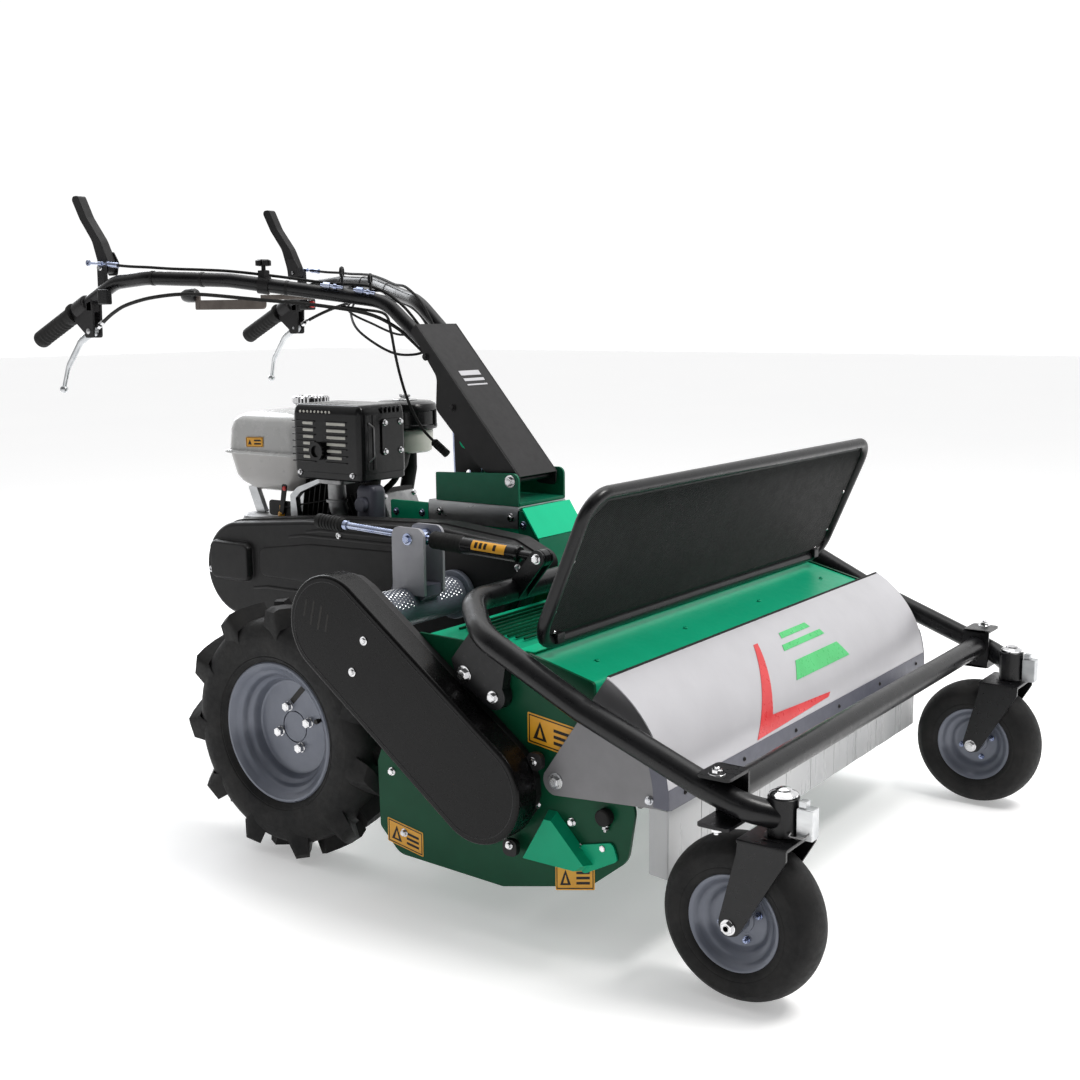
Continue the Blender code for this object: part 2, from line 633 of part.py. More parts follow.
# ---------------------------------------------------------------- lift frame
def lift_frame():
    def side(s):
        return [(REAR_BAR_X, s * 0.475, REAR_BAR_Z), (0.512, s * ARM_Y, 0.492), (0.700, s * ARM_Y, 0.403),
                (0.900, s * ARM_Y, 0.328), (0.972, s * 0.545, 0.302), (1.008, s * 0.518, 0.290)]

    path = list(reversed(side(-1))) + side(1)
    frame = tube("lift_frame", bent(path, 0.075), FRAME_TUBE_R, resolution=2)
    pieces = [frame]
    lug = [(0.432, 0.440)] + arc((LIFT_X, LIFT_Z), 0.018, 180, 270, 3) + [(0.514, 0.368)]
    lug += arc((0.518, 0.390), 0.022, -80, 40, 3) + [(0.545, 0.462), (0.480, 0.500)]
    for s in (-1, 1):
        pieces.append(plate("lug", [lug], *sorted((s * 0.5125, s * 0.5330))))
        foot = (SPINDLE_X, s * SPINDLE_Y, HEAD_Z[0])
        pieces.append(rod("head", foot, (SPINDLE_X, s * SPINDLE_Y, HEAD_Z[1]), 0.023, sides=14))
        pieces.append(rod("pivot", (LIFT_X, s * 0.5085, LIFT_Z), (LIFT_X, s * 0.541, LIFT_Z), 0.012, sides=6))
    ear = [(0.418, 0.528), (0.446, 0.512)] + arc(ADJUST_PIN, 0.015, -45, 135, 4)
    for y in (ADJUST_Y - 0.0145, ADJUST_Y + 0.0095):
        pieces.append(plate("ear", [ear], y, y + 0.005))
    x, z = ADJUST_PIN
    pieces.append(rod("pin", (x, ADJUST_Y - 0.018, z), (x, ADJUST_Y + 0.018, z), 0.005, sides=8))
    bores = [rod("bore", (SPINDLE_X, s * SPINDLE_Y, 0.2), (SPINDLE_X, s * SPINDLE_Y, 0.4), 0.0092, sides=12)
             for s in (-1, 1)]
    finish(cut(union("lift_frame", pieces), bores), "black_paint", (LIFT_X, 0, LIFT_Z))

    x, z = CROSSBAR_X, CROSSBAR_Z
    parts = [rod("front_crossbar", (x, -0.5175, z), (x, 0.5175, z), FRAME_TUBE_R, sides=12)]
    for s in (-1, 1):
        parts.append(side_box("end", s, (x - 0.026, x + 0.026), (0.5165, 0.5215), (z - 0.042, z + 0.035)))
        for height in (z - 0.042, z + 0.030):
            thick = (height, height + 0.005)
            parts.append(side_box("jaw", s, (x - 0.026, x + 0.026), (0.5165, 0.580), thick))
    finish(union("front_crossbar", parts), "black_paint")


def casters():
    x, y, z = CASTER_X, -SPINDLE_Y, CASTER_R
    half = CASTER_W / 2
    outside = [(0.0640, 0.0285), (0.0722, 0.0325), (0.080, half - 0.003), (0.100, half),
               (0.117, half - 0.006), (CASTER_R, 0.012)]
    profile = [(r, -t) for r, t in outside] + list(reversed(outside))
    tyre = turned("caster_tyre", profile, (x, y, z), steps=20, closed=True)
    both_sides(tyre, "caster_tyre", "tyre", (x, y, z))
    outside = [(0.0070, 0.0445), (0.014, 0.0445), (0.016, 0.012), (0.048, 0.010), (0.0600, 0.028),
               (CASTER_FLANGE_R, 0.0365), (0.0635, 0.030)]
    profile = [(r, -t) for r, t in outside] + list(reversed(outside))
    rim = turned("caster_rim", profile, (x, y, z), steps=20, closed=True)
    both_sides(rim, "caster_rim", "grey_rim", (x, y, z))

    crown_z = 0.2535
    leg = arc((x, z), 0.017, 150, 330, 4)
    leg += [(SPINDLE_X + 0.028, crown_z + 0.005), (SPINDLE_X - 0.048, crown_z + 0.005)]
    parts = [box("caster_fork", (SPINDLE_X - 0.050, y - 0.050, crown_z),
                 (SPINDLE_X + 0.030, y + 0.050, crown_z + 0.006))]
    for s in (-1, 1):
        parts.append(plate("leg", [leg], *sorted((y + s * FORK_Y, y + s * (FORK_Y + 0.005)))))
    parts.append(rod("bolt", (x, y - 0.0575, z), (x, y + 0.0575, z), 0.006, sides=10))
    parts += [rod("head", (x, y + s * 0.050, z), (x, y + s * 0.0575, z), 0.010, sides=6) for s in (-1, 1)]
    foot = (SPINDLE_X, y, crown_z)
    parts.append(rod("spindle", foot, (SPINDLE_X, y, 0.320), 0.0085, sides=12))
    cap = [(0.0, 0.3185), (0.019, 0.3185), (0.020, 0.322), (0.014, 0.329), (0.0, 0.332)]
    parts.append(turned("cap", cap, (SPINDLE_X, y, 0), axis="z", steps=12))
    fork = union("caster_fork", parts)
    both_sides(fork, "caster_fork", "black_paint", (SPINDLE_X, y, 0.28))

    lock = box("swivel_lock", (SPINDLE_X + 0.0245, y - 0.011, 0.2625),
               (SPINDLE_X + 0.050, y + 0.011, 0.308), bevel=0.002)
    both_sides(lock, "swivel_lock", "zinc", (SPINDLE_X + 0.037, y, 0.285))


def height_adjuster():
    cheek = [(0.176, 0.490), (0.250, 0.490), (0.250, 0.606), (0.238, 0.617), (0.188, 0.617), (0.176, 0.606)]
    sides = [plate("adjuster_tower", [cheek], ADJUST_Y + y - 0.003, ADJUST_Y + y + 0.003)
             for y in (-0.026, 0.026)]
    web = box("web", (0.176, ADJUST_Y - 0.026, 0.500), (0.181, ADJUST_Y + 0.026, 0.570))
    x, z = TRUNNION
    block = rod("block", (x, ADJUST_Y - 0.026, z), (x, ADJUST_Y + 0.026, z), 0.014, sides=12)
    tower = union("adjuster_tower", sides + [web, block])
    saddle = rod("saddle", (JACK_X, -0.45, JACK_Z), (JACK_X, -0.25, JACK_Z), JACK_TUBE_R + 0.001, sides=24)
    aim = adjuster_line()
    pivot = Vector((x, ADJUST_Y, z))
    bore = rod("bore", pivot - aim * 0.05, pivot + aim * 0.05, 0.0078, sides=12)
    finish(cut(tower, [saddle, bore]), "silver")

    pin = Vector((ADJUST_PIN[0], ADJUST_Y, ADJUST_PIN[1]))
    sleeve = rod("adjuster_tube", pin - aim * 0.236, pin - aim * 0.044, 0.016, sides=14)
    neck = rod("neck", pin - aim * 0.048, pin, 0.008, sides=10)
    eye = rod("eye", (pin.x, ADJUST_Y - 0.0085, pin.z), (pin.x, ADJUST_Y + 0.0085, pin.z), 0.015, sides=14)
    sleeve = union("adjuster_tube", [sleeve, neck, eye])
    bore = rod("bore", pin - aim * 0.250, pin - aim * 0.060, 0.0088, sides=12)
    across = Vector((0, 0.02, 0))
    hole = rod("hole", pin - across, pin + across, 0.0056, sides=8)
    finish(cut(sleeve, [bore, hole]), "black_paint", pin)

    screw = rod("adjuster_screw", pivot - aim * 0.185, pivot + aim * 0.150, 0.0065, sides=10)
    knob = rod("knob", pivot - aim * 0.248, pivot - aim * 0.180, 0.0140, sides=14)
    collars = [rod("collar", pivot + aim * d, pivot + aim * (d + 0.008), 0.012, sides=12)
               for d in (-0.024, 0.0155)]
    finish(union("adjuster_screw", [screw, knob] + collars), "zinc", pivot)


def adjuster_line():
    """The direction of the height screw, from its trunnion to its pin."""
    return Vector((ADJUST_PIN[0] - TRUNNION[0], 0, ADJUST_PIN[1] - TRUNNION[1])).normalized()


# ---------------------------------------------------------------- console and handlebar
def console():
    top = box("console", (-0.100, -0.074, 0.582), (0.238, 0.074, 0.5875))
    sides = [side_box("side", s, (-0.100, 0.238), (0.0705, 0.0745), (0.3315, 0.5870)) for s in (-1, 1)]
    sheet = [(0.238, 0.6155), (0.264, 0.583), (0.281, 0.540), (0.300, 0.480), (0.300, 0.400)]
    front = plate("front", [folded(sheet, -0.004)], -0.080, 0.080)
    ties = box("tie", (0.230, -0.072, 0.560), (0.276, 0.072, 0.565))
    shell = union("console", [top] + sides + [front, ties])
    finish(shell, "bright_green")

    rail = box("steering_rail", (0.003, -0.078, 0.6140), (0.232, 0.078, 0.6195))
    flanges = [side_box("flange", s, (0.003, 0.232), (0.0750, 0.0790), (0.590, 0.6190)) for s in (-1, 1)]
    post = rod("post", (TURRET_X, 0, 0.5880), (TURRET_X, 0, 0.6150), 0.028, sides=16)
    pin = rod("pin", (TURRET_X, 0, 0.6100), (TURRET_X, 0, 0.6400), 0.009, sides=16)
    finish(union("steering_rail", [rail] + flanges + [post, pin]), "zinc")


def handle_turret():
    base = box("handle_turret", (0.023, -0.078, 0.6200), (0.231, 0.078, 0.6260))
    flange = [(0.023, 0.6200), (0.231, 0.6200), (0.231, 0.684), (0.180, 0.684), (0.023, 0.660)]
    flanges = [plate("flange", [flange], *sorted((s * 0.0735, s * 0.0785))) for s in (-1, 1)]
    sector = [(0.030, 0.622), (0.100, 0.622), (0.102, 0.700)] + arc((0.062, 0.736), 0.041, 20, 150, 6)
    plates = [plate("sector", [sector], y, y + 0.004) for y in (-0.0265, 0.0225)]
    turret = union("handle_turret", [base] + flanges + plates)
    bore = rod("bore", (TURRET_X, 0, 0.60), (TURRET_X, 0, 0.70), 0.0095, sides=16)
    finish(cut(turret, [bore]), "dark_green", (TURRET_X, 0, 0.62))


def column():
    front = [COLUMN_TOP, COLUMN_FOOT]
    face = plate("handle_column", [folded(front, 0.003)], -COLUMN_Y - 0.002, COLUMN_Y + 0.002)
    side = [COLUMN_TOP, (-0.049, 0.957), (0.018, 0.865), (0.014, 0.800), (0.112, 0.700), (0.180, 0.650),
            (0.220, 0.648), COLUMN_FOOT]
    gussets = [plate("gusset", [side], *sorted((s * 0.0595, s * COLUMN_Y))) for s in (-1, 1)]
    bolt = rod("bolt", (COLUMN_X, -0.072, COLUMN_Z), (COLUMN_X, 0.072, COLUMN_Z), 0.006, sides=10)
    shell = union("handle_column", [face] + gussets + [bolt])
    finish(shell, "black_paint", (COLUMN_X, 0, COLUMN_Z))


BAR_ROUTE = [(0.085, -0.0435, 0.805), (-0.020, -0.0435, 0.927), (-0.125, -0.052, 1.016),
             (-0.236, -0.115, 1.034), (-0.400, -0.222, 1.061), (-0.573, -0.289, 1.068),
             (-0.668, -0.297, 1.060), (-0.915, -0.3065, 0.9435)]


def handlebars():
    bar = tube("handlebar", bent(BAR_ROUTE, 0.09), BAR_R)

    # ear and pin of the paddle lever, on top of the bar
    x, y, z = PADDLE_PIVOT
    ear = [(x + 0.012, z - 0.060), (x - 0.012, z - 0.064), (x - 0.009, z + 0.007), (x + 0.009, z + 0.007)]
    pieces = [bar, plate("ear", [ear], y - 0.015, y - 0.0045),
              rod("pin", (x, y - 0.010, z), (x, y + 0.024, z), 0.0035, sides=8)]

    # fork and pin of the clutch lever, under the bar
    x, y, z = CLUTCH_PIVOT
    cheek = [(x + 0.012, z - 0.012), (x + 0.014, z + 0.066), (x - 0.050, z + 0.040), (x - 0.046, z + 0.024),
             (x - 0.014, z - 0.004), (x - 0.010, z - 0.012)]
    for side in (-1, 1):
        inner, outer = sorted((y + side * 0.0075, y + side * 0.0105))
        pieces.append(plate("cheek", [cheek], inner, outer))
    pieces.append(rod("pin", (x, y - 0.009, z), (x, y + 0.009, z), 0.0040, sides=8))
    right = union("handlebar_right", pieces)
    left = mirror(right, "handlebar_left")
    finish(left, "black_paint", (COLUMN_X, 0, COLUMN_Z))

    # bridge plate between the bars, with the gear lever's pin under it
    x, y, z = SHIFT_PIVOT
    bridge = box("bridge", (x - 0.020, -0.186, z + 0.0100), (x + 0.020, 0.150, z + 0.0150))
    pin = rod("pin", (x, y, z - 0.010), (x, y, z + 0.012), 0.0035, sides=8)
    finish(union("handlebar_right", [right, bridge, pin]), "black_paint", (COLUMN_X, 0, COLUMN_Z))

    end = Vector(BAR_ROUTE[-1])
    aim = (Vector(BAR_ROUTE[-2]) - end).normalized()
    grip = rod("grip", end - aim * 0.014, end + aim * 0.125, GRIP_R, sides=14)
    collar = rod("collar", end + aim * 0.119, end + aim * 0.125, GRIP_R + 0.004, sides=14)
    grip = union("grip", [grip, collar])
    grip = cut(grip, [rod("bore", end - aim * 0.001, end + aim * 0.2, BAR_R + GAP + 0.0004, sides=14)])
    both_sides(grip, "grip", "rubber", tuple(end))


def levers():
    x, y, z = CLUTCH_PIVOT
    route = [CLUTCH_PIVOT, (-0.790, -0.303, 0.935), (-0.835, -0.306, 0.880), (-0.850, -0.310, 0.832)]
    blade = bent(route, 0.05)
    lever = tube("clutch_lever", blade, 0.0055)
    ball = rod("ball", (-0.849, -0.310, 0.838), (-0.853, -0.310, 0.822), 0.009, sides=10)
    eye = rod("eye", (x, y - 0.006, z), (x, y + 0.006, z), 0.011, sides=12)
    bore = rod("bore", (x, y - 0.02, z), (x, y + 0.02, z), 0.0052, sides=8)
    both_sides(cut(union("clutch_lever", [lever, ball, eye]), [bore]), "clutch_lever", "zinc", CLUTCH_PIVOT)

    x, y, z = PADDLE_PIVOT
    paddle = [(-0.726, 1.082), (-0.702, 1.082), (-0.699, 1.100), (-0.722, 1.140), (-0.776, 1.196),
              (-0.796, 1.248), (-0.818, 1.246), (-0.806, 1.190), (-0.746, 1.124)]
    grip = plate("paddle_lever", [paddle], y - 0.004, y + 0.022)
    soften = grip.modifiers.new("Bevel", "BEVEL")
    soften.width = 0.003
    bore = rod("bore", (x, y - 0.03, z), (x, y + 0.04, z), 0.0046, sides=8)
    both_sides(cut(bake(grip), [bore]), "paddle_lever", "black_plastic", PADDLE_PIVOT)

    x, y, z = SHIFT_PIVOT
    arm = box("shift_lever", (x - 0.145, y - 0.0035, z - 0.0070), (x + 0.002, y + 0.0035, z + 0.0040))
    bar = box("bar", (x - 0.360, y - 0.0025, z - 0.0270), (x - 0.132, y + 0.0025, z - 0.0055))
    riser = box("riser", (x - 0.360, y - 0.0030, z - 0.0260), (x - 0.346, y + 0.0030, z + 0.0120))
    knob = rod("knob", (x - 0.402, y, z + 0.006), (x - 0.355, y, z + 0.006), 0.0165, sides=14)
    eye = rod("eye", (x, y, z - 0.008), (x, y, z + 0.006), 0.008, sides=12)
    bore = rod("bore", (x, y, z - 0.02), (x, y, z + 0.04), 0.0044, sides=8)
    lever = cut(union("shift_lever", [arm, bar, riser, knob, eye]), [bore])
    finish(lever, "zinc", SHIFT_PIVOT)


CABLE_ROUTE = [(-0.729, -0.302, 0.966), (-0.690, -0.306, 0.985), (-0.655, -0.322, 1.015),
               (-0.600, -0.3175, 1.060), (-0.520, -0.290, 1.084), (-0.400, -0.225, 1.0855),
               (-0.236, -0.118, 1.0585), (-0.140, -0.040, 1.043), (-0.075, -0.022, 0.990),
               (-0.010, -0.020, 0.900), (0.085, -0.018, 0.790), (0.120, -0.015, 0.720)]
CABLE_R = 0.004


def cables():
    """A sheathed clutch cable on each side, from the lever along the bar into the column."""
    right = tube("cable", bent(CABLE_ROUTE, 0.10), CABLE_R, resolution=1)
    both_sides(right, "cable", "black_plastic", (COLUMN_X, 0, COLUMN_Z))


def build():
    global ROOT, PARTS
    clear_scene()
    PARTS = bpy.data.collections.new("flail_mower")
    bpy.context.scene.collection.children.link(PARTS)
    ROOT = bpy.data.objects.new("datum", None)
    PARTS.objects.link(ROOT)
    ROOT.location = (DATUM_X, 0, 0)
    drive_wheels()
    transaxle()
    chassis()
    engine()
    main_belt_drive()
    deck_belt_drive()
    deck()
    rotor()
    bonnet()
    curtain()
    flap()
    lift_frame()
    casters()
    height_adjuster()
    console()
    handle_turret()
    column()
    handlebars()
    levers()
    cables()


build()
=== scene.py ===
"""Looks of the walk-behind flail mower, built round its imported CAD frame.

Shapes are written in the same numbers as the CAD: x = 0 at the drive axle,
y = 0 on the centre plane, z = 0 on the ground, all in metres.  Each piece is
then moved by DATUM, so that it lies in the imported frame, and rides on a body.
"""
import math
import random

import bmesh
import bpy
from mathutils import Matrix, Vector


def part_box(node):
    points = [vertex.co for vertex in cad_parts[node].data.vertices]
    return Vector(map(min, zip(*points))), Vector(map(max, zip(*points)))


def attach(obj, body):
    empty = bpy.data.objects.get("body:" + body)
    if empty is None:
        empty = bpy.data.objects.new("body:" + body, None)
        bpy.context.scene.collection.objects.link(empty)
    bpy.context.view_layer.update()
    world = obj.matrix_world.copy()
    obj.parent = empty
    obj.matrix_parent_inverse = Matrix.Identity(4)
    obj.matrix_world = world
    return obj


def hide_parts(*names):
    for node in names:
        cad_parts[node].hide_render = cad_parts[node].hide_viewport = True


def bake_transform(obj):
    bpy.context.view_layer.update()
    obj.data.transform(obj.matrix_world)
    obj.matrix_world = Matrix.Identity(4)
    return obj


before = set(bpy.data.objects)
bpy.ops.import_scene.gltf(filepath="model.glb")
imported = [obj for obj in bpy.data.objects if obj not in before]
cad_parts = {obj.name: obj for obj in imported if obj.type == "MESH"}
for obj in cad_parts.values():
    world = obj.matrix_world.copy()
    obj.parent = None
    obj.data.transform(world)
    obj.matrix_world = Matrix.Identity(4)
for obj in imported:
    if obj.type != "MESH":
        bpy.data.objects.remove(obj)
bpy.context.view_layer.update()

AXLE_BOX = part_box("tyre_right")
DATUM = Vector(((AXLE_BOX[0][0] + AXLE_BOX[1][0]) / 2, 0.0, 0.0))
UP = Vector((0.0, 0.0, 1.0))
SIDES = (-1, 1)


# ---------------------------------------------------------------- driving dimensions
# axes across the machine, as (x, z)
CRANK = (-0.395, 0.460)         # engine's crankshaft
JACK = (0.200, 0.472)           # cross shaft between the belts
ROTOR = (0.510, 0.245)          # flail rotor
LIFT = (0.458, 0.418)           # lift frame's pivots
BONNET = (0.626, 0.267)         # hood's pivots, and the centre of its arc
# the hood's arc: its radius, and its ends in degrees above the horizontal
BONNET_R = 0.205
BONNET_ARC = (-2.0, 62.0)
# distances from the centre plane, of the hood's ends, the side plates' outer faces and the drive wheels
BONNET_Y = 0.5175
PLATE_Y = 0.508
WHEEL_Y = 0.472
# the drive wheels' axle, then the casters' axles and their upright spindles
AXLE_Z = 0.238
CASTER_X, CASTER_Z = 0.955, 0.1254
SPINDLE_X, SPINDLE_Y = 1.014, 0.510
# height adjuster: its plane, the pin on the lift frame's side and the trunnion on the tower
ADJUST_Y = -0.355
ADJUST_PIN = Vector((0.485, ADJUST_Y, 0.584))
TRUNNION = Vector((0.213, ADJUST_Y, 0.596))
# handle: the turret's upright axis, the column's pivot, the sector's hub and the right-hand bar's corners
TURRET_AXIS = (0.120, 0, 0)
COLUMN_PIVOT = (0.205, 0.668)
SECTOR_HUB = (0.062, 0.736)
BAR_ROUTE = [(0.085, -0.0435, 0.805), (-0.020, -0.0435, 0.927), (-0.125, -0.052, 1.016),
             (-0.236, -0.115, 1.034), (-0.400, -0.222, 1.061), (-0.573, -0.289, 1.068),
             (-0.668, -0.297, 1.060), (-0.915, -0.3065, 0.9435)]
# pivots of the right-hand levers and of the gear lever
PADDLE = Vector((-0.713, -0.285, 1.092))
CLUTCH = Vector((-0.745, -0.302, 0.958))
SHIFT = Vector((-0.345, -0.050, 1.0300))


# ---------------------------------------------------------------- materials
def node(tree, kind, **settings):
    """A new shader node; each setting is one of its sockets, or else one of its properties."""
    made = tree.nodes.new(kind)
    for key, value in settings.items():
        if key in made.inputs:
            made.inputs[key].default_value = value
        else:
            setattr(made, key, value)
    return made


def noise(tree, place, scale, detail=3.0, rough=0.55, stretch=(1, 1, 1)):
    """A noise value from 0 to 1, in object coordinates."""
    mapped = node(tree, "ShaderNodeMapping", Scale=stretch)
    tree.links.new(place.outputs["Object"], mapped.inputs["Vector"])
    made = node(tree, "ShaderNodeTexNoise", Scale=scale, Detail=detail, Roughness=rough)
    tree.links.new(mapped.outputs["Vector"], made.inputs["Vector"])
    return made.outputs["Fac"]


def spread(tree, value, low, high, start=0.3, end=0.7):
    """A value mapped on to low..high."""
    made = node(tree, "ShaderNodeMapRange")
    made.inputs["From Min"].default_value = start
    made.inputs["From Max"].default_value = end
    made.inputs["To Min"].default_value = low
    made.inputs["To Max"].default_value = high
    tree.links.new(value, made.inputs["Value"])
    return made.outputs["Result"]


def surface(name, colour, other, rough, metal=0.0, coat=0.0, patch=14, grain=900, bump=0.10,
            depth=0.0004, stretch=(1, 1, 1), **sockets):
    """A finish whose colour drifts between two tones, with uneven gloss and a fine raised grain."""
    made = bpy.data.materials.new(name)
    made.use_nodes = True
    tree = made.node_tree
    shader = tree.nodes["Principled BSDF"]
    place = node(tree, "ShaderNodeTexCoord")
    ramp = node(tree, "ShaderNodeValToRGB")
    ramp.color_ramp.elements[0].color = (*colour, 1.0)
    ramp.color_ramp.elements[1].color = (*other, 1.0)
    ramp.color_ramp.elements[0].position = 0.35
    ramp.color_ramp.elements[1].position = 0.68
    tree.links.new(noise(tree, place, patch, 5.0, 0.6, stretch), ramp.inputs["Fac"])
    tree.links.new(ramp.outputs["Color"], shader.inputs["Base Color"])
    uneven = noise(tree, place, patch * 5.0, 6.0, 0.65, stretch)
    tree.links.new(spread(tree, uneven, *rough), shader.inputs["Roughness"])
    relief = noise(tree, place, grain, 2.0, 0.5, stretch)
    raised = node(tree, "ShaderNodeBump", Strength=bump, Distance=depth)
    tree.links.new(relief, raised.inputs["Height"])
    tree.links.new(raised.outputs["Normal"], shader.inputs["Normal"])
    shader.inputs["Metallic"].default_value = metal
    shader.inputs["Coat Weight"].default_value = coat
    shader.inputs["Coat Roughness"].default_value = 0.12
    for key, value in sockets.items():
        shader.inputs[key.replace("_", " ")].default_value = value
    return made


FINISHES = {}


def finish(name, slot, material, colour, other, rough, **more):
    """Keep a finish under its name: its material, and the slot of the record that it belongs to."""
    FINISHES[name] = (surface(material, colour, other, rough, **more), slot)


# painted shade: the one green paint, darkened to stand for the shade on faces turned away from the light
finish("dark_green", "dark_green", "paint_green_painted_deep_shade", (0.0035, 0.060, 0.027), (0.0045, 0.072, 0.033),
       (0.28, 0.40), coat=0.02, grain=650, Specular_IOR_Level=0.14)
finish("green", "bright_green", "paint_green", (0.004, 0.370, 0.190), (0.006, 0.400, 0.208), (0.30, 0.42),
       coat=0.02, grain=650, Specular_IOR_Level=0.16)
# painted highlight: the one green paint, lightened to stand for faces that catch the light
finish("green_painted_highlight", "bright_green", "paint_green_painted_highlight", (0.004, 0.560, 0.280), (0.006, 0.600, 0.305),
       (0.30, 0.42), coat=0.02, grain=650, Specular_IOR_Level=0.12)
# painted shade: the one green paint, darkened for faces in partial shade
finish("green_painted_shade", "bright_green", "paint_green_painted_shade", (0.004, 0.135, 0.070), (0.005, 0.155, 0.082),
       (0.28, 0.40), coat=0.03, grain=650, Specular_IOR_Level=0.20)
finish("black", "black_paint", "paint_black", (0.0045, 0.0045, 0.0052), (0.0075, 0.0075, 0.0085),
       (0.24, 0.38), coat=0.05, grain=700, bump=0.12, Specular_IOR_Level=0.30)
finish("satin", "black_paint", "paint_satin_black", (0.013, 0.0125, 0.013), (0.019, 0.018, 0.019),
       (0.38, 0.52), bump=0.14, Specular_IOR_Level=0.26)
finish("plastic", "black_plastic", "plastic_black", (0.0075, 0.0072, 0.0075), (0.0115, 0.011, 0.0115),
       (0.36, 0.50), grain=1300, bump=0.22, depth=0.0003, Specular_IOR_Level=0.24)
finish("gloss", "black_plastic", "plastic_gloss_black", (0.0045, 0.0045, 0.005), (0.007, 0.007, 0.0075),
       (0.16, 0.28), coat=0.06, bump=0.08, Specular_IOR_Level=0.34)
finish("rubber", "rubber", "rubber_black", (0.011, 0.011, 0.011), (0.019, 0.0185, 0.018), (0.55, 0.75),
       grain=700, bump=0.30, depth=0.0005, Specular_IOR_Level=0.20)
finish("tyre", "tyre", "tyre_rubber", (0.0105, 0.0105, 0.011), (0.020, 0.0195, 0.019), (0.50, 0.72),
       patch=22, grain=520, bump=0.32, depth=0.0006, Specular_IOR_Level=0.18)
finish("rim", "grey_rim", "paint_rim_grey", (0.135, 0.148, 0.185), (0.165, 0.178, 0.215), (0.28, 0.42),
       metal=0.25, coat=0.15, bump=0.08, Specular_IOR_Level=0.4)
finish("silver", "silver", "paint_silver", (0.52, 0.515, 0.54), (0.56, 0.555, 0.58), (0.30, 0.40),
       metal=0.15, coat=0.10, patch=9, grain=1500, bump=0.06, depth=0.0002)
finish("slate", "silver", "paint_slate", (0.085, 0.088, 0.115), (0.105, 0.108, 0.138), (0.34, 0.46),
       metal=0.2, grain=1200, bump=0.08)
# painted shade: the silver paint, darkened for the bonnet's shaded ends
finish("silver_painted_shade", "silver", "paint_silver_painted_shade", (0.16, 0.158, 0.165), (0.19, 0.188, 0.196),
       (0.32, 0.44), metal=0.15, coat=0.10, grain=1200, bump=0.07)
finish("case_black", "black_paint", "paint_case_black", (0.0032, 0.0030, 0.0032), (0.0050, 0.0048, 0.0050),
       (0.20, 0.32), coat=0.03, grain=800, bump=0.08, Specular_IOR_Level=0.16)
finish("flap_dark", "black_paint", "flap_sheet_dark", (0.006, 0.0085, 0.0078), (0.010, 0.014, 0.0125),
       (0.45, 0.60), grain=1200, bump=0.20, Specular_IOR_Level=0.22)
finish("tower", "silver", "paint_tower_grey", (0.30, 0.30, 0.33), (0.36, 0.36, 0.385), (0.30, 0.45),
       metal=0.35, grain=1000, bump=0.08)
finish("zinc", "zinc", "zinc_plate", (0.44, 0.46, 0.52), (0.66, 0.655, 0.62), (0.20, 0.38), metal=1.0,
       patch=38, grain=1600, depth=0.0002)
finish("blue_zinc", "zinc", "zinc_blue", (0.28, 0.33, 0.50), (0.46, 0.50, 0.62), (0.16, 0.30), metal=1.0,
       patch=45, grain=1600, bump=0.08, depth=0.0002)
finish("sheet", "zinc", "zinc_sheet", (0.46, 0.475, 0.49), (0.66, 0.67, 0.675), (0.26, 0.42), metal=1.0,
       patch=26, grain=500, stretch=(0.25, 1, 1))
finish("chrome", "zinc", "chrome", (0.60, 0.60, 0.61), (0.74, 0.74, 0.75), (0.07, 0.18), metal=1.0,
       patch=60, grain=1200, bump=0.05, depth=0.0002)
finish("cast", "aluminium", "cast_aluminium", (0.30, 0.30, 0.305), (0.44, 0.44, 0.445), (0.38, 0.58),
       metal=1.0, patch=30, grain=420, bump=0.45, depth=0.0006)
finish("steel", "steel", "steel_bare", (0.24, 0.24, 0.25), (0.36, 0.355, 0.35), (0.28, 0.48), metal=1.0,
       patch=40, bump=0.12, stretch=(1, 0.2, 1))
finish("tank", "tank_grey", "paint_tank_grey", (0.44, 0.44, 0.435), (0.49, 0.49, 0.485), (0.20, 0.32),
       coat=0.35, patch=10, grain=1100, bump=0.05)
finish("tank_low", "tank_grey", "paint_tank_dark", (0.37, 0.36, 0.35), (0.42, 0.41, 0.40), (0.26, 0.38),
       coat=0.25, patch=10, grain=1100, bump=0.06)
finish("cream", "tank_grey", "plastic_cream", (0.50, 0.49, 0.44), (0.57, 0.56, 0.51), (0.36, 0.50),
       patch=16, grain=1100, bump=0.12)
finish("strip", "clear_strip", "curtain_strip", (0.56, 0.57, 0.58), (0.64, 0.645, 0.65), (0.24, 0.36),
       patch=9, grain=260, bump=0.05, stretch=(1, 1, 0.12), Transmission_Weight=0.12, IOR=1.42)
finish("amber", "tank_grey", "sticker_amber", (0.72, 0.33, 0.012), (0.78, 0.38, 0.02), (0.28, 0.40),
       patch=30, grain=1500, bump=0.04)
finish("ink", "black_paint", "sticker_ink", (0.010, 0.009, 0.008), (0.016, 0.014, 0.012), (0.30, 0.42),
       patch=30, grain=1500, bump=0.04, Specular_IOR_Level=0.25)
finish("red", "black_plastic", "plastic_red", (0.62, 0.020, 0.018), (0.70, 0.030, 0.026), (0.26, 0.38),
       patch=30, grain=1200, bump=0.05)
finish("swoosh_red", "silver", "film_red", (0.66, 0.030, 0.035), (0.74, 0.045, 0.05), (0.24, 0.36),
       patch=18, grain=1200, bump=0.04)
finish("swoosh_green", "silver", "film_green", (0.05, 0.52, 0.14), (0.07, 0.60, 0.18), (0.24, 0.36),
       patch=18, grain=1200, bump=0.04)
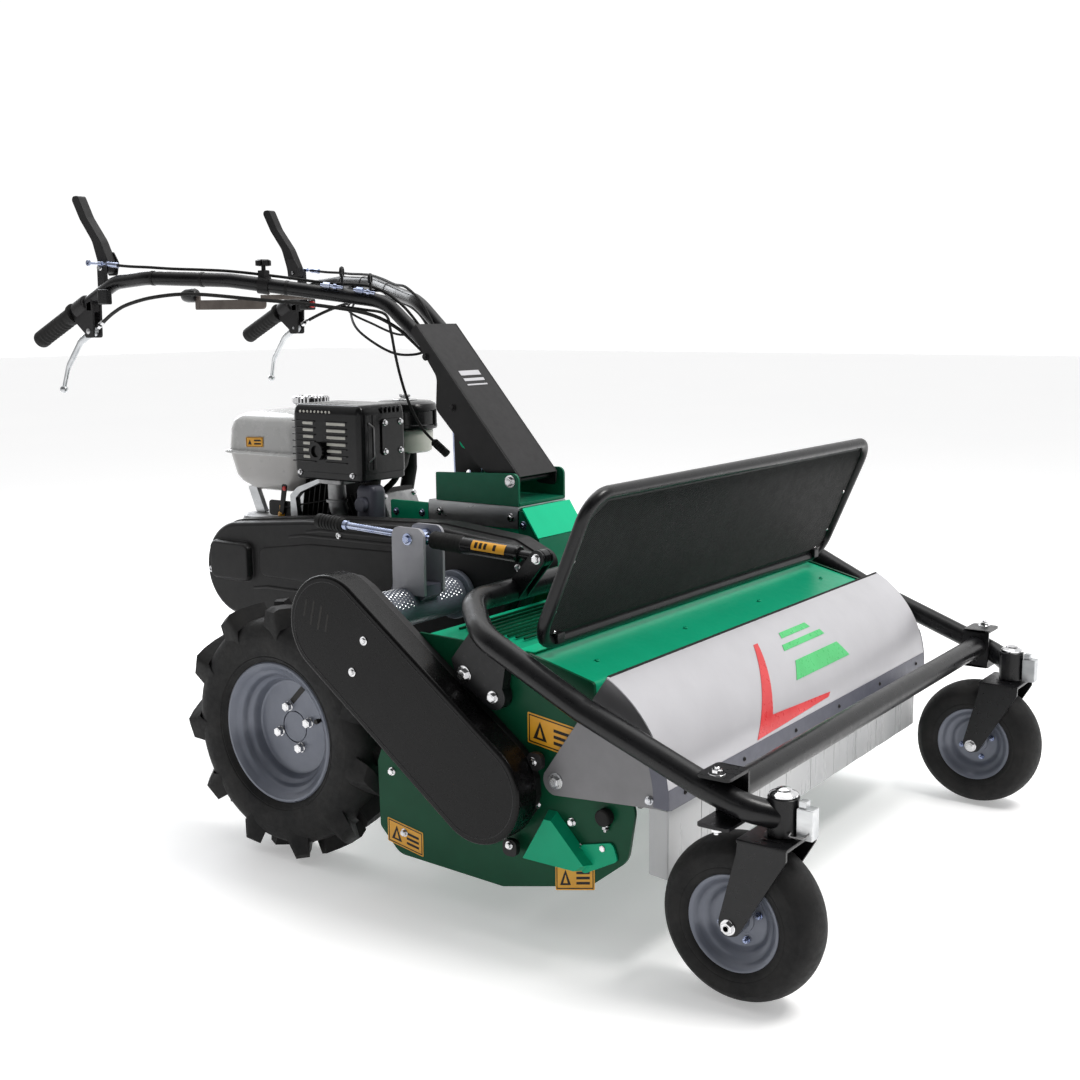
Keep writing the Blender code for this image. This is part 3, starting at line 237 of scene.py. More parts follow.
finish("shift", "zinc", "lever_bronze", (0.12, 0.10, 0.088), (0.16, 0.135, 0.12), (0.34, 0.50), metal=0.5,
       patch=30)


# ---------------------------------------------------------------- shapes
def tidy(work):
    """Merge points that coincide, and turn all faces outwards."""
    bmesh.ops.remove_doubles(work, verts=work.verts, dist=1e-6)
    bmesh.ops.recalc_face_normals(work, faces=work.faces)
    return work


def axes_of(axis):
    """Two radial directions and the axis itself."""
    named = {"x": (Vector((0, 1, 0)), UP, Vector((1, 0, 0))),
             "y": (Vector((1, 0, 0)), UP, Vector((0, 1, 0))),
             "z": (Vector((1, 0, 0)), Vector((0, 1, 0)), UP)}
    if isinstance(axis, str):
        return named[axis]
    along = Vector(axis).normalized()
    side = along.cross(UP if abs(along.z) < 0.9 else Vector((1, 0, 0))).normalized()
    return side, along.cross(side).normalized(), along


def turned(profile, centre, axis="y", steps=48, closed=False):
    """A profile of (radius, distance along the axis) turned about the axis through centre."""
    work = bmesh.new()
    across, over, along = axes_of(axis)
    centre = Vector(centre)
    rings = []
    for radius, travel in profile:
        if radius < 1e-6:
            rings.append([work.verts.new(centre + along * travel)])
            continue
        ring = []
        for k in range(steps):
            turn = 2 * math.pi * k / steps
            ring.append(work.verts.new(centre + along * travel
                                       + (across * math.cos(turn) + over * math.sin(turn)) * radius))
        rings.append(ring)
    following = rings[1:] + rings[:1] if closed else rings[1:]
    for low, high in zip(rings, following):
        for k in range(steps):
            n = (k + 1) % steps
            if len(low) == 1 and len(high) == 1:
                break
            if len(low) == 1:
                work.faces.new((low[0], high[n], high[k]))
            elif len(high) == 1:
                work.faces.new((low[k], low[n], high[0]))
            else:
                work.faces.new((low[k], low[n], high[n], high[k]))
    return tidy(work)


def rod(start, end, radius, sides=24, chamfer=0.0004):
    """A round bar with chamfered ends."""
    start, end = Vector(start), Vector(end)
    length = (end - start).length
    chamfer = min(chamfer, length * 0.3, radius * 0.5)
    profile = [(0, 0), (radius - chamfer, 0), (radius, chamfer), (radius, length - chamfer),
               (radius - chamfer, length), (0, length)]
    return turned(profile, start, end - start, sides)


def pipe(points, radius, sides=16, cyclic=False, flat=None):
    """A tube along the points; flat gives its two half-widths where it isn't round."""
    points = [Vector(p) for p in points]
    count = len(points)
    work = bmesh.new()
    rings = []
    normal = None
    for i, here in enumerate(points):
        before = points[i - 1] if i or cyclic else here
        after = points[(i + 1) % count] if i < count - 1 or cyclic else here
        along = (after - before).normalized()
        if normal is None:
            normal = along.cross(UP if abs(along.z) < 0.95 else Vector((1, 0, 0))).normalized()
        normal = (normal - along * normal.dot(along)).normalized()
        other = along.cross(normal)
        size = radius[i] if isinstance(radius, (list, tuple)) else radius
        wide, tall = flat or (size, size)
        rings.append([work.verts.new(here + normal * wide * math.cos(2 * math.pi * k / sides)
                                     + other * tall * math.sin(2 * math.pi * k / sides))
                      for k in range(sides)])
    pairs = list(zip(rings, rings[1:]))
    if cyclic:
        pairs.append((rings[-1], rings[0]))
    for low, high in pairs:
        for k in range(sides):
            n = (k + 1) % sides
            work.faces.new((low[k], low[n], high[n], high[k]))
    if not cyclic:
        work.faces.new(rings[0])
        work.faces.new(list(reversed(rings[-1])))
    return tidy(work)


def box(low, high, bevel=0.0012, segments=2, turn=None):
    """A box between two corners, with softened edges."""
    work = bmesh.new()
    bmesh.ops.create_cube(work, size=1.0)
    bmesh.ops.scale(work, vec=[b - a for a, b in zip(low, high)], verts=work.verts)
    bmesh.ops.translate(work, vec=[(a + b) / 2 for a, b in zip(low, high)], verts=work.verts)
    if bevel:
        room = min(b - a for a, b in zip(low, high)) * 0.45
        bmesh.ops.bevel(work, geom=work.edges[:], offset=min(bevel, room), segments=segments,
                        profile=0.5, affect="EDGES")
    if turn is not None:
        bmesh.ops.transform(work, matrix=turn, verts=work.verts)
    return work


def side_box(side, x, y, z, **more):
    """A box on one side of the machine, with y measured outwards."""
    near, far = sorted((side * y[0], side * y[1]))
    return box((x[0], near, z[0]), (x[1], far, z[1]), **more)


PLANES = {
    "xy": (Vector((1, 0, 0)), Vector((0, 1, 0)), UP),
    "xz": (Vector((1, 0, 0)), UP, Vector((0, 1, 0))),
    "yz": (Vector((0, 1, 0)), UP, Vector((1, 0, 0))),
}


def plate(outlines, low, high, plane="xz", bevel=0.0006, segments=2, turn=None):
    """A flat outline, with holes, as thick as low..high, with softened rims."""
    across, over, normal = PLANES[plane]
    low, high = min(low, high), max(low, high)
    work = bmesh.new()
    for outline in outlines:
        ring = [work.verts.new(across * a + over * b + normal * low) for a, b in outline]
        for first, second in zip(ring, ring[1:] + ring[:1]):
            work.edges.new((first, second))
    bmesh.ops.triangle_fill(work, use_beauty=True, use_dissolve=False, edges=work.edges[:])
    grown = bmesh.ops.extrude_face_region(work, geom=work.faces[:])
    moved = [g for g in grown["geom"] if isinstance(g, bmesh.types.BMVert)]
    bmesh.ops.translate(work, vec=normal * (high - low), verts=moved)
    bmesh.ops.recalc_face_normals(work, faces=work.faces)
    if bevel:
        rims = []
        for edge in work.edges:
            if len(edge.link_faces) == 2:
                flat = [abs(f.normal.dot(normal)) > 0.9 for f in edge.link_faces]
                if flat[0] != flat[1]:
                    rims.append(edge)
        bmesh.ops.bevel(work, geom=rims, offset=min(bevel, (high - low) * 0.45), segments=segments,
                        profile=0.5, affect="EDGES", clamp_overlap=True)
    if turn is not None:
        bmesh.ops.transform(work, matrix=turn, verts=work.verts)
    return work


def grid(rows, closed_rows=False, closed_columns=False):
    """A skin over rows of points."""
    work = bmesh.new()
    made = [[work.verts.new(p) for p in row] for row in rows]
    rows_after = made[1:] + (made[:1] if closed_rows else [])
    for row, after in zip(made, rows_after):
        count = len(row)
        for k in range(count if closed_columns else count - 1):
            n = (k + 1) % count
            work.faces.new((row[k], row[n], after[n], after[k]))
    return work


def capped(rows):
    """A closed loft through rings of points."""
    work = grid(rows, closed_columns=True)
    work.verts.ensure_lookup_table()
    count = len(rows[0])
    work.faces.new(work.verts[:count])
    work.faces.new(list(reversed(work.verts[-count:])))
    return tidy(work)


def arc(centre, radius, start, end, steps):
    """Points on an arc, angles in degrees."""
    turns = [math.radians(start + (end - start) * i / steps) for i in range(steps + 1)]
    return [(centre[0] + radius * math.cos(t), centre[1] + radius * math.sin(t)) for t in turns]


def circle(centre, radius, steps=24):
    """Points round a full circle."""
    return arc(centre, radius, 0, 360, steps)[:-1]


def bent(points, radius, steps=8):
    """A path through the points with its corners replaced by arcs of the given radius."""
    points = [Vector(p) for p in points]
    path = [points[0]]
    for before, corner, after in zip(points, points[1:], points[2:]):
        to_before = (before - corner).normalized()
        to_after = (after - corner).normalized()
        half = to_before.angle(to_after) / 2
        if half > 1.56:
            path.append(corner)
            continue
        reach = min(radius / math.tan(half), (before - corner).length * 0.49,
                    (after - corner).length * 0.49)
        bend = reach * math.tan(half)
        centre = corner + (to_before + to_after).normalized() * math.hypot(bend, reach)
        first = corner + to_before * reach - centre
        last = corner + to_after * reach - centre
        for step in range(steps + 1):
            path.append(centre + first.slerp(last, step / steps) * bend)
    path.append(points[-1])
    return path


def rounded(outline, radius, steps=5):
    """A closed flat outline with its corners rounded; radius may be a number for each corner."""
    points = [Vector((a, b, 0)) for a, b in outline]
    count = len(points)
    path = []
    for i, corner in enumerate(points):
        size = radius[i] if isinstance(radius, (list, tuple)) else radius
        if size <= 0:
            path.append((corner.x, corner.y))
            continue
        before, after = points[i - 1], points[(i + 1) % count]
        to_before = (before - corner).normalized()
        to_after = (after - corner).normalized()
        half = to_before.angle(to_after) / 2
        if half > 1.53:
            path.append((corner.x, corner.y))
            continue
        reach = min(size / math.tan(half), (before - corner).length * 0.48,
                    (after - corner).length * 0.48)
        bend = reach * math.tan(half)
        centre = corner + (to_before + to_after).normalized() * math.hypot(bend, reach)
        first = corner + to_before * reach - centre
        last = corner + to_after * reach - centre
        for step in range(steps + 1):
            spot = centre + first.slerp(last, step / steps) * bend
            path.append((spot.x, spot.y))
    return path


def smooth(points, count=6):
    """A smooth curve through the points."""
    points = [Vector(p) for p in points]
    points = [points[0] * 2 - points[1]] + points + [points[-1] * 2 - points[-2]]
    path = []
    for a, b, c, d in zip(points, points[1:], points[2:], points[3:]):
        for k in range(count):
            t = k / count
            path.append(0.5 * ((2 * b) + (c - a) * t + (2 * a - 5 * b + 4 * c - d) * t * t
                               + (3 * b - a - 3 * c + d) * t ** 3))
    path.append(points[-2])
    return path


def hull_of(first, first_r, second, second_r, steps=24):
    """The outline of a belt run tightly round two circles."""
    across = Vector(second) - Vector(first)
    heading = math.degrees(math.atan2(across.y, across.x))
    lean = math.degrees(math.acos((first_r - second_r) / across.length))
    around_second = arc(second, second_r, heading - lean, heading + lean, steps)
    return around_second + arc(first, first_r, heading + lean, heading - lean + 360, steps)


def folded(points, thickness):
    """The outline of a folded sheet whose outer face follows the points."""
    points = [Vector(p) for p in points]
    inner = []
    for i, here in enumerate(points):
        before = (here - points[i - 1]).normalized() if i else None
        after = (points[i + 1] - here).normalized() if i < len(points) - 1 else None
        before = before or after
        after = after or before
        normals = [Vector((d.y, -d.x)) for d in (before, after)]
        middle = (normals[0] + normals[1]).normalized()
        inner.append(here + middle * thickness / middle.dot(normals[0]))
    return [tuple(p) for p in points] + [tuple(p) for p in reversed(inner)]


def hexagon(place, axis, width, height, chamfer=0.0008):
    """A hexagon bolt head or nut, with its base at place."""
    across, over, along = axes_of(axis)
    place = Vector(place)
    corner = width / math.sqrt(3)
    rows = []
    for scale, lift in ((1.0, 0.0), (1.0, height - chamfer), (0.90, height)):
        rows.append([place + along * lift + (across * math.cos(math.radians(60 * k + 30))
                                            + over * math.sin(math.radians(60 * k + 30))) * corner * scale
                     for k in range(6)])
    return capped(rows)


def bolt(place, axis, width=0.013, height=0.0055, washer=0.0, stub=0.0):
    """A hexagon head on a washer; with a stub it is a nut on the end of a stud."""
    along = Vector(axis).normalized() if not isinstance(axis, str) else axes_of(axis)[2]
    place = Vector(place)
    shapes = []
    wide = washer or width * 0.78
    thick = 0.0016
    shapes.append(turned([(0, 0), (wide, 0), (wide, thick * 0.6), (wide - 0.0006, thick), (0, thick)],
                         place, along, 28))
    shapes.append(hexagon(place + along * thick, along, width, height))
    if stub:
        top = place + along * (thick + height)
        shapes.append(rod(top - along * 0.001, top + along * stub, width * 0.29, 14, 0.0006))
    else:
        top = place + along * (thick + height)
        shapes.append(turned([(0, -0.0006), (width * 0.40, -0.0002), (width * 0.36, 0.0004), (0, 0.0002)],
                             top, along, 20))
    return shapes


def pan_screw(place, axis, radius=0.0045, height=0.0025):
    """A domed screw head with a socket."""
    along = Vector(axis).normalized()
    profile = [(0, height * 0.35), (radius * 0.42, height * 0.35), (radius * 0.46, height * 0.97),
               (radius * 0.62, height), (radius * 0.9, height * 0.62), (radius, 0.0), (0, 0)]
    return turned(profile, place, along, 18)


# ---------------------------------------------------------------- pieces
def join(shapes):
    """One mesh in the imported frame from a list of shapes."""
    whole = bmesh.new()
    for shape in shapes:
        part = bpy.data.meshes.new("part")
        shape.to_mesh(part)
        whole.from_mesh(part)
        bpy.data.meshes.remove(part)
    bmesh.ops.translate(whole, vec=DATUM, verts=whole.verts)
    return whole


def flatten(shapes):
    """A plain list of shapes from a list that may hold further lists."""
    flat = []
    for shape in shapes:
        if isinstance(shape, (list, tuple)):
            flat += flatten(shape)
        else:
            flat.append(shape)
    return flat


def place_piece(name, body, finish, whole, stands_for, angle):
    """Make a mesh into a finished piece; edges sharper than the angle stay crisp."""
    mesh = bpy.data.meshes.new(name)
    whole.to_mesh(mesh)
    material, slot = FINISHES[finish]
    mesh.materials.append(material)
    mesh.shade_smooth()
    mesh.set_sharp_from_angle(angle=math.radians(angle))
    made = bpy.data.objects.new(name, mesh)
    bpy.context.scene.collection.objects.link(made)
    weights = made.modifiers.new("Normals", "WEIGHTED_NORMAL")
    weights.keep_sharp = True
    if body:
        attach(made, body)
    if stands_for:
        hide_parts(*stands_for)
    return made


def make(name, body, finish, shapes, stands_for=(), angle=32):
    """A piece of the object that rides on a body, unless that is None, and stands for CAD nodes."""
    whole = join(flatten(shapes))
    made = place_piece(name, body, finish, whole, stands_for, angle)
    whole.free()
    return made


def make_pair(stem, body, finish, shapes, stands_for=(), angle=32):
    """A right-hand piece and its left-hand twin; %s in a name is the side."""
    whole = join(flatten(shapes))
    for side in ("right", "left"):
        if side == "left":
            bmesh.ops.scale(whole, vec=(1, -1, 1), verts=whole.verts)
            bmesh.ops.reverse_faces(whole, faces=whole.faces)
        nodes = [n % side for n in stands_for]
        place_piece("%s_%s" % (stem, side), body % side if "%s" in body else body, finish, whole,
                    nodes, angle)
    whole.free()


def repaint(finish, *nodes):
    """CAD nodes that keep their shape and take a finish."""
    for name in nodes:
        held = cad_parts[name]
        held.data.materials.clear()
        held.data.materials.append(FINISHES[finish][0])


# ---------------------------------------------------------------- camera, floor and light
CAMERA_PLACE = (1.7678, -2.2254, 0.9869)
CAMERA_TURN = (math.radians(35.01), math.radians(9.27), -0.0066)    # heading, pitch and roll
LENS_MM = 46.59
SENSOR_MM = 36.0
LENS_SHIFT = (-0.0224, 0.0025)


def camera():
    """The view from ahead and to the machine's right."""
    heading, pitch, roll = CAMERA_TURN
    ahead = Vector((-math.sin(heading) * math.cos(pitch), math.cos(heading) * math.cos(pitch),
                    -math.sin(pitch)))
    right = Vector((math.cos(heading), math.sin(heading), 0.0))
    top = right.cross(ahead)
    across = right * math.cos(roll) + top * math.sin(roll)
    over = top * math.cos(roll) - right * math.sin(roll)
    data = bpy.data.cameras.new("camera")
    data.lens = LENS_MM
    data.sensor_width = SENSOR_MM
    data.shift_x, data.shift_y = LENS_SHIFT
    data.clip_start = 0.05
    data.clip_end = 100.0
    data.dof.use_dof = False
    seen = bpy.data.objects.new("camera", data)
    bpy.context.scene.collection.objects.link(seen)
    turn = Matrix((across, over, -ahead)).transposed().to_4x4()
    seen.matrix_world = Matrix.Translation(CAMERA_PLACE) @ turn
    bpy.context.scene.camera = seen


def area_light(name, place, target, size, power, tint=(1.0, 1.0, 1.0)):
    """A rectangular lamp at a place, turned to its target."""
    data = bpy.data.lights.new(name, "AREA")
    data.shape = "RECTANGLE"
    data.size, data.size_y = size
    data.energy = power
    data.color = tint
    lamp = bpy.data.objects.new(name, data)
    bpy.context.scene.collection.objects.link(lamp)
    aim = (Vector(target) - Vector(place)).to_track_quat("-Z", "Y").to_matrix().to_4x4()
    lamp.matrix_world = Matrix.Translation(place) @ aim


def studio():
    """A pale floor, four soft lamps and a sky that is brighter behind the machine."""
    floor = bpy.data.meshes.new("floor")
    reach = 30.0
    floor.from_pydata([(-reach, -reach, -0.0005), (reach, -reach, -0.0005), (reach, reach, -0.0005),
                       (-reach, reach, -0.0005)], [], [(0, 1, 2, 3)])
    pale = surface("floor_pale", (0.86, 0.86, 0.865), (0.88, 0.88, 0.88), rough=(0.7, 0.8), patch=0.8,
                   grain=90, bump=0.02, depth=0.001)
    glow = pale.node_tree.nodes["Principled BSDF"]
    glow.inputs["Emission Color"].default_value = (1.0, 1.0, 1.0, 1.0)
    glow.inputs["Emission Strength"].default_value = 0.34
    glow.inputs["Specular IOR Level"].default_value = 0.1
    floor.materials.append(pale)
    ground = bpy.data.objects.new("floor", floor)
    bpy.context.scene.collection.objects.link(ground)

    area_light("key", (2.6, 0.4, 3.8), (0.2, 0.0, 0.3), (1.3, 1.3), 100, (1.0, 0.985, 0.965))
    area_light("top", (-0.4, 0.8, 4.2), (0.0, 0.0, 0.4), (4.0, 3.0), 62)
    area_light("edge", (-3.0, 1.2, 2.2), (-0.3, 0.0, 0.7), (1.4, 2.4), 40, (0.93, 0.96, 1.0))
    area_light("front", (0.9, -4.2, 1.5), (0.1, 0.0, 0.4), (2.4, 0.9), 6)

    world = bpy.data.worlds.new("studio")
    bpy.context.scene.world = world
    world.use_nodes = True
    tree = world.node_tree
    back = tree.nodes["Background"]
    place = node(tree, "ShaderNodeTexCoord")
    across = node(tree, "ShaderNodeVectorMath", operation="DOT_PRODUCT")
    across.inputs[1].default_value = (-0.45, 0.80, 0.40)
    tree.links.new(place.outputs["Generated"], across.inputs[0])
    ramp = spread(tree, across.outputs["Value"], 0.05, 1.05, -0.35, 0.60)
    # the backdrop itself is seen white from every side
    path = node(tree, "ShaderNodeLightPath")
    backdrop = node(tree, "ShaderNodeMath", operation="MAXIMUM")
    tree.links.new(ramp, backdrop.inputs[0])
    tree.links.new(path.outputs["Is Camera Ray"], backdrop.inputs[1])
    tree.links.new(backdrop.outputs["Value"], back.inputs["Strength"])
    back.inputs["Color"].default_value = (1.0, 1.0, 1.0, 1.0)
    bpy.context.scene.view_settings.view_transform = "Standard"
    bpy.context.scene.view_settings.look = "None"


# ---------------------------------------------------------------- wheels
def tyre_lug(turn, side):
    """One bar of the tractor tread: from the middle of the tread, back over the shoulder."""
    route = [(-0.010, 0.026, 0.210, 0.2378, 0.024), (0.010, 0.012, 0.210, 0.2379, 0.027),
             (0.028, -0.004, 0.206, 0.2372, 0.031), (0.042, -0.018, 0.198, 0.2345, 0.035),
             (0.0500, -0.027, 0.188, 0.2270, 0.038), (0.0507, -0.034, 0.176, 0.2000, 0.040)]
    rows = []
    for t, s, low, high, wide in route:
        lean = 0.62
        ring = []
        for half, radius in ((-1, low), (-0.56, high), (0.50, high), (1, low)):
            shift = half * wide * 0.72
            along = s + shift
            sideways = t + shift * lean * 0.55
            sideways = min(sideways, 0.0508)
            angle = turn + along / 0.235
            ring.append(Vector((radius * math.sin(angle), -WHEEL_Y - side * sideways,
                                AXLE_Z + radius * math.cos(angle))))
        rows.append(ring)
    return capped(rows)


def drive_wheels():
    """Lugged tyres, dished rims with their bolts and slots, and the valves."""
    hub = (0, -WHEEL_Y, AXLE_Z)
    half = [(0.1215, 0.0300), (0.1240, 0.0350), (0.1300, 0.0385), (0.1345, 0.0400), (0.1375, 0.0440),
            (0.1410, 0.0465), (0.1430, 0.0458), (0.1450, 0.0478), (0.1600, 0.0498), (0.1780, 0.0506),
            (0.1800, 0.0498), (0.1820, 0.0500), (0.1900, 0.0486), (0.1980, 0.0450), (0.2040, 0.0400),
            (0.2080, 0.0330), (0.2100, 0.0240), (0.2112, 0.0120), (0.2115, 0.0)]
    profile = half + [(r, -t) for r, t in reversed(half[:-1])]
    shapes = [turned(profile, hub, steps=96, closed=True)]
    for k in range(11):
        for side, phase in ((1, 0.0), (-1, 0.5)):
            shapes.append(tyre_lug(math.radians(360 / 11 * (k + phase) + 7), side))
    make_pair("drive_tyre", "wheel_%s", "tyre", shapes, ("tyre_%s",), angle=40)

    front = [(0.0, 0.0050), (0.0280, 0.0050), (0.0285, 0.0080), (0.0300, 0.0080), (0.0305, 0.0050),
             (0.0840, 0.0050), (0.0880, 0.0030), (0.0905, -0.0020), (0.0925, -0.0090),
             (0.0960, -0.0125), (0.1005, -0.0150), (0.1030, -0.0190), (0.1050, -0.0250),
             (0.1085, -0.0285), (0.1130, -0.0305), (0.1165, -0.0340), (0.1200, -0.0380),
             (0.1250, -0.0415), (0.1290, -0.0412), (0.1312, -0.0392), (0.1312, -0.0372),
             (0.1285, -0.0355), (0.1235, -0.0340), (0.1205, -0.0300)]
    back = [(0.1205, 0.0300), (0.1235, 0.0345), (0.1290, 0.0370), (0.1305, 0.0400), (0.1290, 0.0412),
            (0.1240, 0.0405), (0.1170, 0.0340), (0.1150, 0.0250), (0.1150, -0.0200),
            (0.1080, -0.0235), (0.1010, -0.0105), (0.0950, -0.0065), (0.0915, 0.0070), (0.0840, 0.0095),
            (0.0300, 0.0095), (0.0300, 0.0220), (0.0140, 0.0240), (0.0140, 0.0995), (0.0, 0.0995)]
    shapes = [turned(front + back, hub, steps=96)]
    make_pair("drive_rim", "wheel_%s", "rim", shapes, ("rim_%s",), angle=34)

    bolts = []
    for k in range(4):
        turn = math.radians(20.5 + 90 * k)
        spot = (0.040 * math.cos(turn), -WHEEL_Y + 0.0050, AXLE_Z + 0.040 * math.sin(turn))
        bolts.append(bolt(spot, (0, -1, 0), 0.0160, 0.0090, 0.0098))
    make_pair("wheel_bolts", "wheel_%s", "chrome", bolts, angle=30)
    # the radial slot is a near-black sheet laid on the rim where it has a hole: painted shade; the valve stem
    # beside it is black rubber
    slot = [(-0.0105, 0.0500), (-0.0020, 0.0430), (0.0290, 0.0735), (0.0250, 0.0800), (0.0200, 0.0805)]
    turn = Matrix.Translation((0, 0, AXLE_Z))
    slots = [plate([slot], -WHEEL_Y + 0.0045, -WHEEL_Y + 0.0052, bevel=0.0001, turn=turn)]
    valve = Matrix.Rotation(math.radians(70), 4, "Y") @ Vector((0, 0, 0.099))
    place = Vector((valve.x, -WHEEL_Y, valve.z + AXLE_Z))
    slots.append(rod(place + Vector((0, -0.010, 0)), place + Vector((0, -0.028, 0)), 0.0036, 16))
    slots.append(rod(place + Vector((0, -0.026, 0)), place + Vector((0, -0.0345, 0)), 0.0046, 16))
    make_pair("wheel_valve", "wheel_%s", "ink", slots)


def casters():
    """Smooth tyres, spoked-disc rims, forks with their axles and caps, and the swivel locks."""
    hub = (CASTER_X, -SPINDLE_Y, CASTER_Z)
    half = [(0.0635, 0.0260), (0.0665, 0.0300), (0.0712, 0.0335), (0.0745, 0.0372), (0.0790, 0.0400),
            (0.0830, 0.0408), (0.0845, 0.0402), (0.0860, 0.0412), (0.0950, 0.0418), (0.1040, 0.0405),
            (0.1050, 0.0396), (0.1060, 0.0396), (0.1120, 0.0355), (0.1175, 0.0290), (0.1215, 0.0210),
            (0.1240, 0.0120), (0.1250, 0.0060), (0.1253, 0.0)]
    profile = half + [(r, -t) for r, t in reversed(half[:-1])]
    make_pair("caster_tyre", "caster_wheel_%s", "tyre", [turned(profile, hub, steps=96, closed=True)],
              ("caster_tyre_%s",), angle=40)

    half = [(0.0075, 0.0430), (0.0145, 0.0430), (0.0160, 0.0400), (0.0165, 0.0150), (0.0220, 0.0135),
            (0.0225, 0.0120), (0.0400, 0.0115), (0.0440, 0.0130), (0.0475, 0.0165), (0.0505, 0.0205),
            (0.0550, 0.0228), (0.0590, 0.0245), (0.0620, 0.0285), (0.0655, 0.0335), (0.0690, 0.0358),
            (0.0722, 0.0362), (0.0738, 0.0345), (0.0725, 0.0325), (0.0690, 0.0312), (0.0650, 0.0285),
            (0.0630, 0.0240)]
    profile = half + [(r, -t) for r, t in reversed(half)]
    make_pair("caster_rim", "caster_wheel_%s", "rim", [turned(profile, hub, steps=80, closed=True)],
              ("caster_rim_%s",), angle=34)
    nuts = []
    for k in range(4):
        turn = math.radians(20 + 90 * k)
        for side in SIDES:
            spot = (CASTER_X + 0.032 * math.cos(turn), -SPINDLE_Y + side * 0.0122,
                    CASTER_Z + 0.032 * math.sin(turn))
            nuts.append(bolt(spot, (0, side, 0), 0.0085, 0.0045, 0.0058, 0.003))
    make_pair("caster_rim_nuts", "caster_wheel_%s", "blue_zinc", nuts, angle=30)

    y = -SPINDLE_Y
    crown = 0.2535
    leg = rounded([(CASTER_X - 0.0165, CASTER_Z + 0.004), (CASTER_X - 0.006, CASTER_Z - 0.016),
                   (CASTER_X + 0.015, CASTER_Z - 0.010), (SPINDLE_X + 0.0290, crown - 0.012),
                   (SPINDLE_X + 0.0290, crown + 0.0030), (SPINDLE_X - 0.046, crown + 0.0030),
                   (SPINDLE_X - 0.048, crown - 0.016)],
                  [0.012, 0.012, 0.012, 0.010, 0, 0, 0.006], 6)
    fork = []
    for side in SIDES:
        fork.append(plate([leg], y + side * 0.0455, y + side * 0.0503, bevel=0.0012))
    fork.append(box((SPINDLE_X - 0.0490, y - 0.0500, crown), (SPINDLE_X + 0.0295, y + 0.0500, crown + 0.006),
                    bevel=0.0018))
    fork.append(turned([(0.0, crown + 0.004), (0.0270, crown + 0.004), (0.0270, crown + 0.0070),
                        (0.0215, crown + 0.0078), (0.0, crown + 0.0078)], (SPINDLE_X, y, 0), "z", 40))
    fork.append(rod((SPINDLE_X, y, crown), (SPINDLE_X, y, 0.3190), 0.0088, 24))
    for side in SIDES:
        rib = [(SPINDLE_X - 0.046, crown), (SPINDLE_X - 0.014, crown + 0.0075),
               (SPINDLE_X + 0.014, crown + 0.0075),
               (SPINDLE_X + 0.027, crown)]
        fork.append(plate([rib], y + side * 0.0275, y + side * 0.0315, bevel=0.0006))
    make_pair("caster_fork", "caster_%s", "black", fork, ("caster_fork_%s",), angle=34)
    axle = [rod((CASTER_X, y - 0.0575, CASTER_Z), (CASTER_X, y + 0.0575, CASTER_Z), 0.0050, 18)]
    axle.append(bolt((CASTER_X, y - 0.0503, CASTER_Z), (0, -1, 0), 0.0165, 0.0048, 0.0120, 0.0008))
    axle.append(bolt((CASTER_X, y + 0.0503, CASTER_Z), (0, 1, 0), 0.0165, 0.0048, 0.0120))
    make_pair("caster_axle", "caster_%s", "chrome", axle, angle=30)
    cap = [(0.0, 0.3184), (0.0192, 0.3184), (0.0205, 0.3192), (0.0205, 0.3222), (0.0192, 0.3232),
           (0.0180, 0.3236), (0.0120, 0.3262), (0.0112, 0.3286), (0.0060, 0.3306), (0.0, 0.3312)]
    make_pair("caster_cap", "caster_%s", "chrome", [turned(cap, (SPINDLE_X, y, 0), "z", 40)], angle=24)
    pin = smooth([(SPINDLE_X + 0.0200, y - 0.016, 0.2720), (SPINDLE_X + 0.020, y - 0.022, 0.2690),
                  (SPINDLE_X + 0.030, y - 0.020, 0.2680), (SPINDLE_X + 0.040, y - 0.016, 0.2690),
                  (SPINDLE_X + 0.044, y - 0.013, 0.2740)], 6)
    make_pair("caster_clip", "lift", "steel", [pipe(pin, 0.0012, 8)])

    block = [box((SPINDLE_X + 0.0246, y - 0.0108, 0.2626), (SPINDLE_X + 0.0498, y + 0.0108, 0.3078),
                 bevel=0.0016),
             box((SPINDLE_X + 0.0260, y - 0.0070, 0.3060), (SPINDLE_X + 0.0380, y + 0.0070, 0.3175),
                 bevel=0.0012)]
    make_pair("swivel_block", "swivel_block_%s", "sheet", block, ("swivel_lock_%s",))


# ---------------------------------------------------------------- mowing head
def sticker(corners, y, marks):
    """A sticker on a side plate: a coloured sheet, and its printed border and shapes."""
    sheet = plate([rounded(corners, 0.002, 3)], y, y - 0.0005, bevel=0.0001)
    print_y = (y - 0.0004, y - 0.0008)
    (ax, az), (bx, bz), (cx, cz), (dx, dz) = corners

    def at(u, v):
        low = (ax + (bx - ax) * u, az + (bz - az) * u)
        high = (dx + (cx - dx) * u, dz + (cz - dz) * u)
        return (low[0] + (high[0] - low[0]) * v, low[1] + (high[1] - low[1]) * v)

    shapes = []
    rim = [[at(0.03, 0.05), at(0.97, 0.05), at(0.97, 0.95), at(0.03, 0.95)],
           [at(0.05, 0.09), at(0.05, 0.91), at(0.95, 0.91), at(0.95, 0.09)]]
    shapes.append(plate(rim, *print_y, bevel=0))
    for mark in marks:
        shapes.append(plate([[at(u, v) for u, v in loop] for loop in mark], *print_y, bevel=0))
    return sheet, shapes


